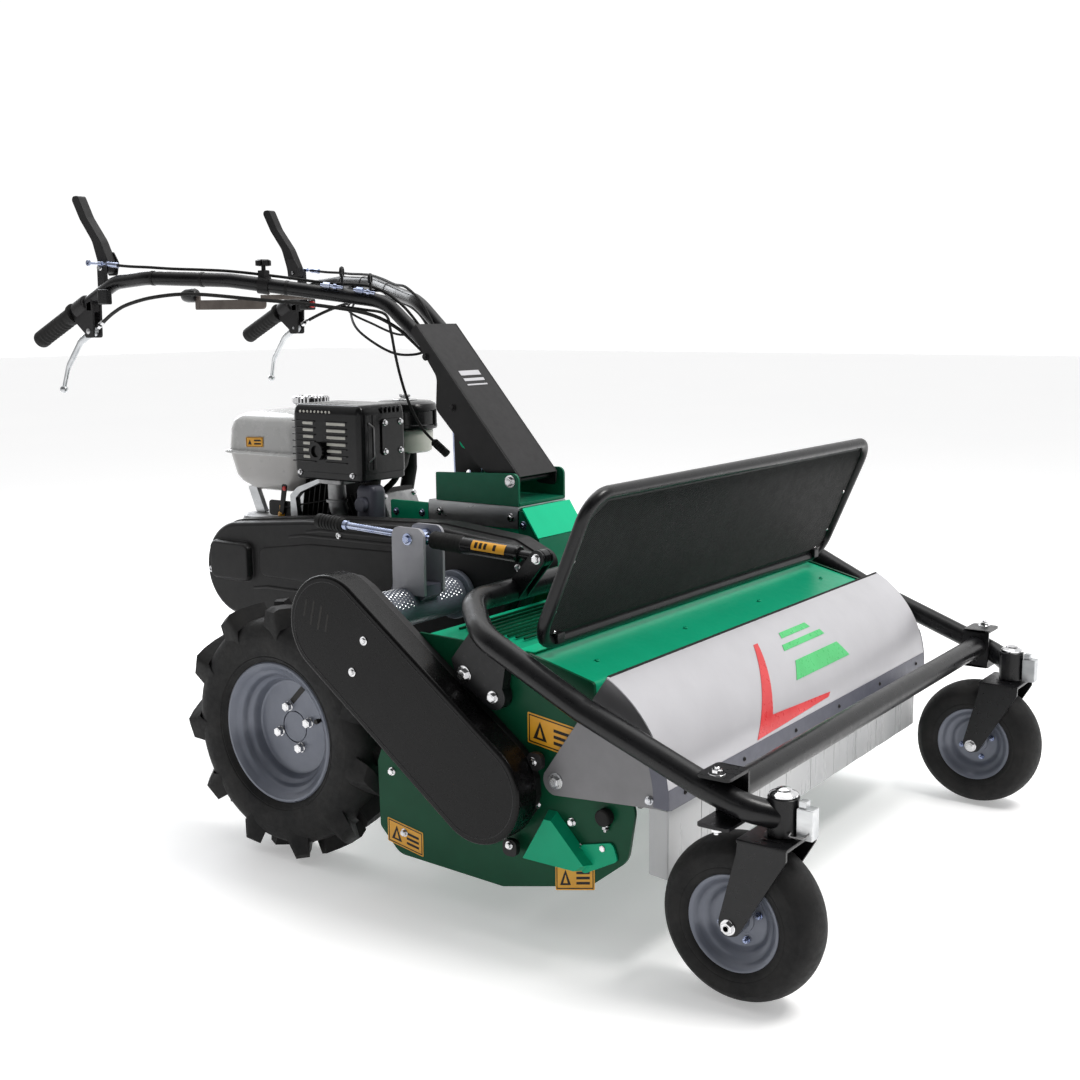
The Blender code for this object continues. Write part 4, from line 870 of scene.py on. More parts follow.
def side_plates():
    """The head's side plates, with their bolts, guides, stops and stickers."""
    outline = [(0.245, 0.112), (0.288, 0.070), (0.512, 0.063), (0.684, 0.104), (0.754, 0.160),
               (0.768, 0.246), (0.700, 0.330), (0.692, 0.432), (0.569, 0.462), (0.341, 0.468),
               (0.243, 0.229)]
    radii = [0.010, 0.030, 0.010, 0.045, 0.040, 0.030, 0.012, 0.006, 0.004, 0.006, 0.006]
    # the side plates take the darkest copy of the green: painted shade on faces turned away from the light
    skin = plate([rounded(outline, radii, 6), list(reversed(circle(ROTOR, 0.020, 24)))],
                 -PLATE_Y, -PLATE_Y + 0.006, bevel=0.0009)
    make_pair("side_plate", "machine", "dark_green", [skin], ("side_plate_%s",))
    bolts = []
    for x, z in ((0.583, 0.218), (0.650, 0.202), (0.665, 0.163), (0.710, 0.173), (0.300, 0.110),
                 (0.275, 0.215), (0.360, 0.440)):
        bolts.append(bolt((x, -PLATE_Y, z), (0, -1, 0), 0.0100, 0.0042, 0.0075))
    make_pair("side_plate_bolts", "machine", "chrome", bolts, angle=30)

    # the folded guide at the front lower corner of each side plate
    rows = []
    outer = [(0.556, 0.127), (0.672, 0.127), (0.694, 0.142), (0.668, 0.168), (0.622, 0.214), (0.606, 0.214)]
    cx, cz = 0.640, 0.160
    for depth, shrink in ((0.5083, 0.0), (0.5300, 0.16)):
        rows.append([Vector((a + (cx - a) * shrink, -depth, b + (cz - b) * shrink)) for a, b in outer])
    guide = [capped(rows)]
    guide.append(plate([rounded([(0.668, 0.120), (0.738, 0.158), (0.728, 0.186), (0.668, 0.170)], 0.008, 4)],
                       -0.5083, -0.5123, bevel=0.0008))
    make_pair("skid_guide", "machine", "green", guide, angle=30)
    stops = [turned([(0, 0), (0.0125, 0), (0.0135, 0.002), (0.0135, 0.014), (0.0115, 0.016), (0, 0.016)],
                    (0.716, -PLATE_Y, 0.226), (0, -1, 0), 28)]
    make_pair("bonnet_stop", "machine", "rubber", stops)
    studs = [bolt((0.716, -PLATE_Y - 0.004, 0.212), (0, -0.2, -1), 0.0100, 0.0050, 0.0070, 0.004)]
    make_pair("bonnet_stop_stud", "machine", "chrome", studs, angle=30)

    triangle = [[(0.12, 0.20), (0.40, 0.20), (0.26, 0.80)], [(0.20, 0.27), (0.26, 0.62), (0.32, 0.27)]]
    bars = [[[(0.54, 0.22 + 0.20 * k), (0.88, 0.22 + 0.20 * k), (0.88, 0.32 + 0.20 * k),
              (0.54, 0.32 + 0.20 * k)]] for k in range(3)]
    marks = [triangle] + bars
    sheets = []
    inks = []
    for corners in (((0.262, 0.088), (0.342, 0.075), (0.342, 0.118), (0.262, 0.131)),
                    ((0.618, 0.082), (0.693, 0.100), (0.693, 0.143), (0.618, 0.125)),
                    ((0.566, 0.318), (0.660, 0.306), (0.660, 0.356), (0.566, 0.368))):
        sheet, ink = sticker(corners, -PLATE_Y - 0.0001, marks)
        sheets.append(sheet)
        inks += ink
    make_pair("side_stickers", "machine", "amber", sheets)
    make_pair("side_sticker_print", "machine", "ink", inks)


def deck_shell():
    """The folded sheet over the rotor, and the parts seen through and behind it."""
    inside = PLATE_Y - 0.006 - 0.0003
    sheet = [(0.254, 0.110), (0.254, 0.230), (0.346, 0.4635), (0.566, 0.4595), (0.688, 0.4300),
             (0.688, 0.395)]
    path = bent([(x, 0, z) for x, z in sheet], 0.010, 4)
    profile = folded([(p.x, p.z) for p in path], 0.004)
    make("deck_shell", "machine", "green", [plate([profile], -inside, inside, bevel=0.0005)],
         ("deck_shell",), angle=30)
    # lighter folded edge under the flap, in the lit copy of the green as a painted highlight, and the louvres
    # behind it in the darkened copy as painted shade
    trims = [box((0.5400, -inside + 0.004, 0.4602), (0.5720, inside - 0.004, 0.4628), bevel=0.0008)]
    make("deck_edge", "machine", "green_painted_highlight", trims)
    louvres = []
    for i in range(9):
        x = 0.372 + 0.0170 * i
        louvres.append(box((x, -0.440, 0.4632), (x + 0.0045, 0.440, 0.4672), bevel=0.0012))
    make("deck_louvres", "machine", "dark_green", louvres)
    rivets = []
    for y in (-0.42, -0.14, 0.14, 0.42):
        rivets.append(pan_screw((0.640, y, 0.4430), (0.233, 0, 0.972), 0.0042, 0.0018))
    make("deck_rivets", "machine", "green", rivets, angle=40)
    # corner plates in the darkest copy of the green: painted shade
    brackets = [side_box(s, (0.300, 0.330), (0.440, 0.470), (0.345, 0.420)) for s in SIDES]
    make("deck_corner_plates", "machine", "dark_green", brackets)
    repaint("steel", "rotor_bearing", "flail_row_1", "flail_row_2", "flail_row_3", "jackshaft",
            "engine_pulley")
    repaint("satin", "rotor", "side_case_back")
    repaint("rubber", "main_belt", "deck_belt")
    bolts = []
    for t in (0.4, 1.97, 3.54, 5.11):
        spot = (ROTOR[0] + 0.036 * math.cos(t), 0.514, ROTOR[1] + 0.036 * math.sin(t))
        bolts.append(bolt(spot, (0, 1, 0), 0.009, 0.004))
    make("bearing_bolts", "machine", "chrome", bolts, angle=30)


def bonnet():
    """The curved front hood, its cheeks, lower strip, screws and coloured flash."""
    outer = arc(BONNET, BONNET_R, *BONNET_ARC, 40)
    inner = arc(BONNET, BONNET_R - 0.0025, *reversed(BONNET_ARC), 40)
    skin = [plate([outer + inner], -BONNET_Y, BONNET_Y, bevel=0.0005)]
    make("bonnet_skin", "hood", "silver", skin, ("bonnet",), angle=30)
    # the cheeks take a darkened copy of the silver paint: painted shade on the bonnet's ends
    side = arc(BONNET, BONNET_R - 0.0006, *BONNET_ARC, 40) + arc(BONNET, 0.024, 157, 263, 10)
    cheeks = [plate([side], s * (BONNET_Y - 0.0030), s * (BONNET_Y - 0.0001), bevel=0.0007) for s in SIDES]
    make("bonnet_cheeks", "hood", "silver_painted_shade", cheeks, angle=30)
    # the strip screwed along the lower edge, turned up at both ends
    low = arc(BONNET, BONNET_R + 0.0010, -2.0, 6.5, 10)
    strip = [plate([low + arc(BONNET, BONNET_R - 0.0005, 6.5, -2.0, 10)], -BONNET_Y + 0.0005,
                   BONNET_Y - 0.0005, bevel=0.0003)]
    for s in SIDES:
        end = arc(BONNET, BONNET_R + 0.0008, -2.0, 20.0, 10) + arc(BONNET, BONNET_R - 0.026, 20.0, -2.0, 10)
        strip.append(plate([end], s * (BONNET_Y - 0.0005), s * (BONNET_Y + 0.0012), bevel=0.0004))
    make("bonnet_strip", "hood", "slate", strip, angle=30)
    screws = []
    for y in (-0.47, -0.28, -0.09, 0.09, 0.28, 0.47):
        turn = math.radians(2.5)
        spot = (BONNET[0] + (BONNET_R + 0.001) * math.cos(turn), y,
                BONNET[1] + (BONNET_R + 0.001) * math.sin(turn))
        screws.append(pan_screw(spot, (math.cos(turn), 0, math.sin(turn)), 0.0040, 0.0020))
    make("bonnet_strip_screws", "hood", "ink", screws, angle=40)
    bolts = []
    for s in SIDES:
        bolts.append(bolt((BONNET[0], s * BONNET_Y, BONNET[1]), (0, s, 0), 0.0150, 0.0060, 0.0135))
        bolts.append(bolt((0.798, s * (BONNET_Y + 0.0004), 0.270), (0, s, 0), 0.0100, 0.0042, 0.0072))
    make("bonnet_bolts", "hood", "zinc", bolts, angle=30)
    # a plain two-colour flash on the bonnet
    flash("bonnet_flash_red", "swoosh_red", [(-0.230, 0.15), (-0.115, 0.80), (-0.100, 0.80), (-0.165, 0.27),
                                             (0.060, 0.22), (0.050, 0.19)])
    flash("bonnet_flash_green", "swoosh_green",
          [(-0.050, 0.42), (-0.024, 0.56), (0.150, 0.56), (0.175, 0.42)])
    for k in range(2):
        flash("bonnet_flash_bar_%d" % (k + 1), "swoosh_green",
              [(-0.040 + 0.02 * k, 0.66 + 0.10 * k), (-0.034 + 0.02 * k, 0.71 + 0.10 * k),
               (0.120 - 0.03 * k, 0.71 + 0.10 * k), (0.126 - 0.03 * k, 0.66 + 0.10 * k)])
    edge = [pipe([(BONNET[0] + (BONNET_R - 0.001) * math.cos(math.radians(62)), y,
                   BONNET[1] + (BONNET_R - 0.001) * math.sin(math.radians(62))) for y in (-0.512, 0.512)],
                 0.0026, 10)]
    make("bonnet_edge_seal", "hood", "rubber", edge)


def flash(name, finish, corners):
    """A thin film shape on the bonnet; corners are (y, share of the arc)."""
    outline = []
    for (y0, v0), (y1, v1) in zip(corners, corners[1:] + corners[:1]):
        for k in range(8):
            outline.append((y0 + (y1 - y0) * k / 8, v0 + (v1 - v0) * k / 8))
    film = plate([outline], 0.0003, 0.0009, "xy", bevel=0)
    for i in range(1, 20):
        geom = film.verts[:] + film.edges[:] + film.faces[:]
        bmesh.ops.bisect_plane(film, geom=geom, plane_co=(0, i / 20, 0), plane_no=(0, 1, 0))
    for vert in film.verts:
        y, v, lift = vert.co
        turn = math.radians(BONNET_ARC[0] + (BONNET_ARC[1] - BONNET_ARC[0]) * v)
        reach = BONNET_R + lift
        vert.co = Vector((BONNET[0] + reach * math.cos(turn), y, BONNET[1] + reach * math.sin(turn)))
    bmesh.ops.recalc_face_normals(film, faces=film.faces)
    make(name, "hood", finish, [film], angle=50)


def curtain():
    """Ten hanging strips, slightly bowed, with a return at each end."""
    low = math.radians(-2.0)
    reach = BONNET_R - 0.012
    x = BONNET[0] + reach * math.cos(low)
    top = BONNET[1] + reach * math.sin(low) - 0.006
    pitch = 0.996 / 10
    strips = []
    chance = random.Random(5)
    for i in range(10):
        left = -0.498 + pitch * i + 0.0008
        right = left + pitch - 0.0016
        bow = 0.0010 + 0.0008 * chance.random()
        rows_front = []
        for k in range(9):
            v = k / 8
            z = top + (0.1412 - top) * v
            row = []
            for j in range(7):
                u = j / 6
                curve = bow * math.sin(math.pi * u) * (0.4 + 0.6 * v)
                row.append((x + 0.0016 + curve * 0.6 - 0.0006, left + (right - left) * u, z))
            rows_front.append(row)
        shape = grid(rows_front)
        grown = bmesh.ops.extrude_face_region(shape, geom=shape.faces[:])
        moved = [g for g in grown["geom"] if isinstance(g, bmesh.types.BMVert)]
        bmesh.ops.translate(shape, vec=(-0.0026, 0, 0), verts=moved)
        bmesh.ops.recalc_face_normals(shape, faces=shape.faces)
        strips.append(shape)
    for s in SIDES:
        back = [(x - 0.034, top - 0.004), (x - 0.001, top - 0.004), (x - 0.001, 0.1412), (x - 0.034, 0.1440)]
        strips.append(plate([rounded(back, 0.002, 2)], s * 0.4955, s * 0.4978, bevel=0.0004))
    make("curtain_strips", "strips", "strip", strips, ("curtain",), angle=50)
    # the clamping rail of the strips, inside the bonnet's lower edge
    rail = [box((x - 0.006, -0.498, top - 0.002), (x + 0.0055, 0.498, top + 0.0120), bevel=0.001)]
    make("curtain_rail", "hood", "slate", rail)


def flap():
    """The raised front flap: a tube frame, a dark sheet and its raised mesh."""
    (x0, z0), (x1, z1) = (0.590, 0.478), (0.695, 0.722)
    length = math.hypot(x1 - x0, z1 - z0)
    half = 0.516
    corners = [(0, -half, 0), (0, -half, length), (0, half, length), (0, half, 0)]
    place = Matrix.Translation((x0, 0, z0)) @ Matrix.Rotation(math.atan2(x1 - x0, z1 - z0), 4, "Y")
    loop = bent([(0, 0, 0)] + corners + [(0, 0, 0)], 0.045, 10)[:-1]
    frame_tube = pipe([place @ p for p in loop], 0.0105, 20, cyclic=True)
    make("flap_frame", "front_flap", "black", [frame_tube], ("flap",), angle=60)

    # the sheet and its raised diamond mesh, cut to the inside of the frame
    inset = 0.004
    outline = rounded([(-half + inset, inset), (half - inset, inset), (half - inset, length - inset),
                       (-half + inset, length - inset)], [0.004, 0.004, 0.040, 0.040], 6)
    sheet = plate([outline], -0.0006, 0.0006, "yz", bevel=0, turn=place)
    make("flap_sheet", "front_flap", "flap_dark", [sheet])
    wires = []
    pitch = 0.0064
    lean = 1.15
    for way in (-1, 1):
        count = int((2 * half + length * lean) / pitch) + 2
        for k in range(count):
            start = -half - length * lean * 0.5 + pitch * k
            ends = []
            for t in range(0, 33):
                v = length * t / 32
                y = start + way * (v - length / 2) * lean + length * lean * 0.25
                if inside(y, v, half - 0.006, length):
                    ends.append((y, v))
            if len(ends) > 1:
                (ya, va), (yb, vb) = ends[0], ends[-1]
                wires.append(pipe([place @ Vector((0.0004 * way, ya, va)),
                                   place @ Vector((0.0004 * way, yb, vb))],
                                  0.0011, 4))
    make("flap_mesh", "front_flap", "satin", wires, angle=20)
    tabs = []
    for s in SIDES:
        spot = place @ Vector((-0.0005, s * 0.470, 0.012))
        tabs.append(box((spot.x - 0.012, spot.y - 0.010, spot.z - 0.014),
                        (spot.x + 0.012, spot.y + 0.010, spot.z + 0.004),
                        bevel=0.002))
    make("flap_hinge_tabs", "front_flap", "black", tabs)
    studs = []
    for y, v in ((0.500, 0.060), (0.500, 0.150), (-0.500, 0.060), (-0.500, 0.150), (0.478, 0.018),
                 (-0.478, 0.018)):
        spot = place @ Vector((0.0008, y, v))
        facing = place.to_3x3() @ Vector((1, 0, 0))
        studs.append(pan_screw(spot, facing, 0.0034, 0.0022))
    make("flap_rivets", "front_flap", "chrome", studs, angle=40)


def inside(y, v, half, length):
    """Whether a point lies inside the flap's frame."""
    if not (0.010 < v < length - 0.010 and -half < y < half):
        return False
    corner = 0.040
    dy, dv = abs(y) - (half - corner), v - (length - 0.006 - corner)
    return not (dy > 0 and dv > 0 and math.hypot(dy, dv) > corner)


def side_case():
    """The case of the side belt, with vents, rim, screws and ears."""
    low, high = -0.5772, -0.5308
    outline = hull_of(JACK, 0.088, ROTOR, 0.088)
    inner = hull_of(JACK, 0.084, ROTOR, 0.084)
    rows = []
    for grow, y in ((-0.0060, low), (-0.0030, low + 0.0005), (-0.0009, low + 0.0022), (0.0, low + 0.0050),
                    (0.0, high)):
        rows.append([Vector((a, y, b)) for a, b in hull_of(JACK, 0.088 + grow, ROTOR, 0.088 + grow, 40)])
    shell = grid(rows, closed_columns=True)
    shell.verts.ensure_lookup_table()
    shell.faces.new(list(shell.verts)[:len(rows[0])])
    under = [[Vector((a, y, b)) for a, b in hull_of(JACK, 0.0845, ROTOR, 0.0845, 40)]
             for y in (high, low + 0.003)]
    lining = grid(under, closed_columns=True)
    lining.verts.ensure_lookup_table()
    lining.faces.new(list(lining.verts)[-len(under[0]):])
    rim = plate([outline, list(reversed(inner))], high, high + 0.0006, bevel=0)
    tidy(shell)
    make("side_case_shell", "machine", "case_black", [shell, lining, rim], ("side_case",), angle=40)
    # embossed vents at the rear end, and a pressed rim that follows the outline
    marks = []
    for x, z, size in ((0.151, 0.5000, 0.016), (0.167, 0.4930, 0.022), (0.184, 0.4860, 0.022),
                       (0.200, 0.4790, 0.016)):
        slot = rounded([(-0.0022, -size), (0.0022, -size), (0.0022, size), (-0.0022, size)], 0.0021, 4)
        turn = Matrix.Translation((x, 0, z)) @ Matrix.Rotation(math.radians(14), 4, "Y")
        marks.append(plate([slot], low - 0.0002, low + 0.0012, bevel=0.0001, turn=turn))
    make("side_case_vents", "machine", "ink", marks)
    seam = hull_of(JACK, 0.0770, ROTOR, 0.0770, 40)
    ridge = [pipe([(a, low + 0.0004, b) for a, b in seam], 0.0010, 8, cyclic=True)]
    make("side_case_ridge", "machine", "black", ridge, angle=60)
    screws = [bolt((x, low, z), (0, -1, 0), 0.0090, 0.0026, 0.0078)
              for x, z in ((0.283, 0.459), (0.255, 0.402))]
    screws += [bolt((x, -0.5305, z), (0, -1, 0), 0.0090, 0.0036, 0.0072)
               for x, z in ((0.592, 0.296), (0.543, 0.148))]
    make("side_case_screws", "machine", "chrome", screws, angle=30)
    ears = [plate([rounded([(x - 0.014, z - 0.014), (x + 0.014, z - 0.014), (x + 0.014, z + 0.014),
                            (x - 0.014, z + 0.014)], 0.010, 5)], -0.5303, -0.5200, bevel=0.0010)
            for x, z in ((0.594, 0.296), (0.543, 0.143))]
    make("side_case_ears", "machine", "satin", ears)


# ---------------------------------------------------------------- engine
def rectangle(low, high, radius, steps=6):
    """The outline of a rectangle with rounded corners."""
    return rounded([low, (high[0], low[1]), high, (low[0], high[1])], radius, steps)


def inset(outline, amount):
    """A closed flat outline moved inwards."""
    points = [Vector(p) for p in outline]
    area = sum(a.x * b.y - b.x * a.y for a, b in zip(points, points[1:] + points[:1]))
    side = 1 if area > 0 else -1
    moved = []
    for i, here in enumerate(points):
        before = (here - points[i - 1]).normalized()
        after = (points[(i + 1) % len(points)] - here).normalized()
        normals = [Vector((-d.y, d.x)) * side for d in (before, after)]
        middle = (normals[0] + normals[1]).normalized()
        moved.append(here + middle * (amount / max(0.4, middle.dot(normals[0]))))
    return [(p.x, p.y) for p in moved]


def rows_of(outline, steps, plane):
    """Rings of points from an outline drawn at several heights; steps are (height, inset)."""
    across, over, normal = PLANES[plane]
    return [[across * a + over * b + normal * height for a, b in inset(outline, amount)]
            for height, amount in steps]


def loft(outline, steps, plane="xy"):
    """A closed body from an outline drawn at several heights; steps are (height, inset)."""
    return capped(rows_of(outline, steps, plane))


def cut_below(shape, z):
    """Cut away what lies below a level, and close the shape again."""
    geom = shape.verts[:] + shape.edges[:] + shape.faces[:]
    cut = bmesh.ops.bisect_plane(shape, geom=geom, plane_co=(0, 0, z), plane_no=UP, clear_inner=True)
    rim = [g for g in cut["geom_cut"] if isinstance(g, bmesh.types.BMEdge)]
    bmesh.ops.holes_fill(shape, edges=rim)
    return shape


def ribbed(profile, centre, axis, ribs, depth, steps=4):
    """A turned body whose rim is fluted; the profile rows marked True carry the flutes."""
    across, over, along = axes_of(axis)
    centre = Vector(centre)
    rows = []
    count = ribs * steps
    for radius, travel, fluted in profile:
        ring = []
        for k in range(count):
            turn = 2 * math.pi * k / count
            reach = radius - (depth if fluted and k % steps == 0 else 0.0)
            ring.append(centre + along * travel + (across * math.cos(turn) + over * math.sin(turn)) * reach)
        rows.append(ring)
    return capped(rows)


def engine_block():
    """Crankcase, cylinder with fins, head, exhaust elbow, throttle and dipstick."""
    base = 0.3313
    block = [loft(rectangle((-0.530, -0.112), (-0.262, 0.112), 0.026),
                  [(base, 0.004), (base + 0.004, 0.0), (0.536, 0.0), (0.549, 0.005), (0.555, 0.014)]),
             loft(rectangle((-0.495, -0.135), (-0.275, 0.135), 0.014),
                  [(base, 0.001), (base + 0.016, 0.0), (base + 0.018, 0.002)])]
    for k in range(7):
        x = -0.512 + 0.036 * k
        block.append(box((x, -0.1155, 0.352), (x + 0.005, 0.1155, 0.540), bevel=0.0015))
    for z in (0.395, 0.455, 0.512):
        block.append(box((-0.5335, -0.100, z), (-0.2600, 0.100, z + 0.005), bevel=0.0015))
    block.append(turned([(0.0145, -0.140), (0.050, -0.140), (0.054, -0.134), (0.060, -0.112),
                         (0.060, -0.106), (0.0145, -0.106)], (CRANK[0], 0, CRANK[1]), steps=48, closed=True))
    block.append(plate([rounded([(-0.505, 0.372), (-0.290, 0.372), (-0.290, 0.530), (-0.505, 0.530)], 0.05,
                                8), circle(CRANK, 0.054, 40)], -0.121, -0.110, bevel=0.003))
    make("engine_block", "machine", "cast", block, ("engine_crankcase",), angle=30)
    bolts = []
    for x, z in ((-0.492, 0.392), (-0.492, 0.510), (-0.303, 0.392), (-0.303, 0.510), (-0.398, 0.522),
                 (-0.398, 0.382)):
        bolts.append(bolt((x, -0.121, z), (0, -1, 0), 0.009, 0.005))
    for x in (-0.478, -0.292):
        for y in (-0.124, 0.124):
            bolts.append(bolt((x, y, base + 0.018), "z", 0.011, 0.006))
    bolts.append(bolt((-0.5335, 0.03, 0.372), (-1, 0, 0), 0.014, 0.007))
    make("engine_bolts", "machine", "chrome", bolts, angle=30)

    lean = Matrix.Translation((-0.250, 0.0, 0.515)) @ Matrix.Rotation(-math.radians(25), 4, "Y")
    barrel = [box((-0.005, -0.058, -0.053), (0.130, 0.058, 0.053), bevel=0.010, segments=4, turn=lean)]
    for i in range(9):
        at = 0.016 + 0.0118 * i
        shrink = 0.0 if i < 7 else 0.004 * (i - 6)
        barrel.append(box((at, -0.082 + shrink, -0.073 + shrink),
                          (at + 0.0028, 0.082 - shrink, 0.073 - shrink),
                          bevel=0.0009, turn=lean))
    for i in range(6):
        x = -0.352 + 0.0150 * i
        fin = [(x, 0.5552), (x + 0.0035, 0.5552), (x + 0.0185, 0.6400), (x + 0.0150, 0.6400)]
        barrel.append(plate([fin], -0.088, 0.070, bevel=0.0008))
    make("engine_cylinder_fins", "machine", "satin", barrel, ("engine_cylinder",), angle=30)
    head = [box((0.118, -0.056, -0.052), (0.1345, 0.056, 0.052), bevel=0.006, segments=3, turn=lean),
            box((0.121, -0.070, 0.010), (0.129, -0.054, 0.026), bevel=0.002, turn=lean)]
    make("engine_head_cover", "machine", "cast", head)
    aim = Vector((math.cos(math.radians(25)), 0, math.sin(math.radians(25))))
    heads = [bolt(lean @ Vector((0.1340, y, z)), aim, 0.009, 0.004)
             for y in (-0.046, 0.046) for z in (-0.042, 0.042)]
    make("engine_head_bolts", "machine", "chrome", heads, angle=30)

    # exhaust elbow between the barrel and the silencer, with its flange and embossed ring
    elbow = [pipe(bent([(-0.238, -0.062, 0.566), (-0.238, -0.092, 0.578), (-0.238, -0.094, 0.652)], 0.030, 8),
                  0.0190, 24), loft(rectangle((-0.272, -0.118), (-0.204, -0.066), 0.012),
                  [(0.6380, 0.001), (0.6390, 0), (0.6470, 0), (0.6480, 0.001)]),
             turned([(0.0190, 0), (0.0230, 0.001), (0.0230, 0.006), (0.0190, 0.007)], (-0.238, -0.094, 0.598),
                    "z", 32, closed=True)]
    make("exhaust_elbow", "machine", "cast", elbow, angle=35)

    # throttle housing beside the barrel
    housing = [loft(rectangle((-0.176, -0.108), (-0.124, -0.060), 0.016),
                    [(0.560, 0.004), (0.564, 0.0), (0.626, 0.0), (0.636, 0.004), (0.640, 0.010)]),
               turned([(0, 0), (0.015, 0), (0.016, 0.002), (0.016, 0.009), (0.012, 0.012), (0, 0.012)],
                      (-0.150, -0.108, 0.600), (0, -1, 0), 32)]
    make("throttle_housing", "machine", "slate", housing, angle=35)
    feed = [pipe(bent([(-0.150, -0.080, 0.636), (-0.150, -0.070, 0.668), (-0.168, 0.030, 0.668),
                       (-0.190, 0.070, 0.700)], 0.030, 8), 0.0150, 20)]
    make("inlet_hose", "machine", "rubber", feed)

    # oil filler, throttle lever and its links
    dip = [turned([(0, 0), (0.009, 0), (0.010, 0.002), (0.010, 0.010), (0.006, 0.014), (0.006, 0.026),
                   (0, 0.026)], (-0.402, -0.096, 0.553), "z", 20)]
    make("oil_filler_cap", "machine", "amber", dip)
    arm = [plate([rounded([(-0.404, 0.560), (-0.392, 0.560), (-0.378, 0.626), (-0.392, 0.628)], 0.004, 4)],
                 -0.104, -0.101, bevel=0.0008),
           pipe([(-0.398, -0.102, 0.575), (-0.330, -0.098, 0.588), (-0.262, -0.090, 0.600)], 0.0018, 8),
           plate([rounded([(-0.440, 0.556), (-0.360, 0.556), (-0.352, 0.590), (-0.440, 0.590)], 0.008, 4)],
                 -0.099, -0.096, bevel=0.0008)]
    make("throttle_lever", "machine", "plastic", arm)
    make("throttle_lever_tip", "machine", "red",
         [turned([(0, 0), (0.0052, 0), (0.0046, 0.0020), (0, 0.0026)], (-0.385, -0.104, 0.618), (0, -1, 0),
                 20)])


def muffler():
    """The silencer's box guard, with its louvres, slots and outlet."""
    outline = rectangle((-0.326, -0.132), (-0.130, 0.010), 0.014)
    shell = [loft(outline, [(0.648, 0.006), (0.652, 0.001), (0.664, 0.001), (0.665, 0.0), (0.786, 0.0),
                            (0.798, 0.003), (0.804, 0.008), (0.806, 0.013)])]
    # hoods over the slots, and a frame round the outlet
    for column in ((-0.3235, -0.258), (-0.229, -0.168)):
        for i in range(7):
            z = 0.7660 - 0.0141 * i
            shell.append(box((column[0], -0.1352, z + 0.0034), (column[1], -0.1315, z + 0.0062),
                             bevel=0.0012))
    shell.append(plate([rectangle((-0.263, 0.690), (-0.229, 0.728), 0.008)], -0.1350, -0.1310, bevel=0.0012))
    for i in range(7):
        x = -0.305 + 0.0150 * i
        shell.append(box((x, -0.118, 0.8052), (x + 0.0050, -0.060, 0.8060), bevel=0.0003))
    for y in (-0.118, -0.096):
        shell.append(box((-0.1305, y, 0.672), (-0.1285, y + 0.010, 0.786), bevel=0.0008))
    shell.append(plate([rectangle((-0.070, 0.700), (-0.006, 0.776), 0.010)], -0.1300, -0.1262, "yz",
                       bevel=0.0015))
    for k in range(5):
        y = -0.068 + 0.013 * k
        shell.append(box((-0.1310, y, 0.7880), (-0.1275, y + 0.0055, 0.8010), bevel=0.0008))
    shell.append(pipe([(-0.246, -0.120, 0.709), (-0.246, -0.1400, 0.709)], 0.0150, 28))
    shell.append(turned([(0.0125, 0), (0.0190, 0), (0.0190, 0.007), (0.0125, 0.007)],
                        (-0.246, -0.1455, 0.709), "y", 36, closed=True))
    make("muffler_guard", "machine", "gloss", shell, ("muffler",), angle=34)
    slots = []
    for column in ((-0.2935, -0.2640), (-0.2250, -0.1720)):
        for i in range(6):
            z = 0.7660 - 0.0141 * i
            short = 0.010 if i > 2 and column[0] < -0.25 else (0.012 if i > 3 else 0.0)
            slots.append(plate([rectangle((column[0], z - 0.0026), (column[1] - short, z + 0.0030), 0.0016)],
                               -0.1326, -0.1316, bevel=0.0002))
    for i in range(9):
        x = -0.300 + 0.0105 * i
        slots.append(turned([(0, 0), (0.0026, 0), (0.0026, 0.0006), (0, 0.0006)], (x, -0.1316, 0.7905),
                            (0, -1, 0), 14))
    make("muffler_slots", "machine", "cream", slots)
    bolts = [bolt((-0.1262, y, z), (1, 0, 0), 0.0085, 0.0040) for y in (-0.062, -0.014)
             for z in (0.708, 0.768)]
    bolts += [bolt((x, -0.1315, 0.662), (0, -1, 0), 0.0080, 0.0036) for x in (-0.305, -0.155)]
    make("muffler_bolts", "machine", "chrome", bolts, angle=30)
    clips = [pipe(bent([(-0.127, -0.110, 0.690), (-0.121, -0.100, 0.700), (-0.121, -0.100, 0.760),
                        (-0.127, -0.110, 0.770)], 0.006, 4), 0.0016, 8)]
    make("muffler_clip", "machine", "steel", clips)


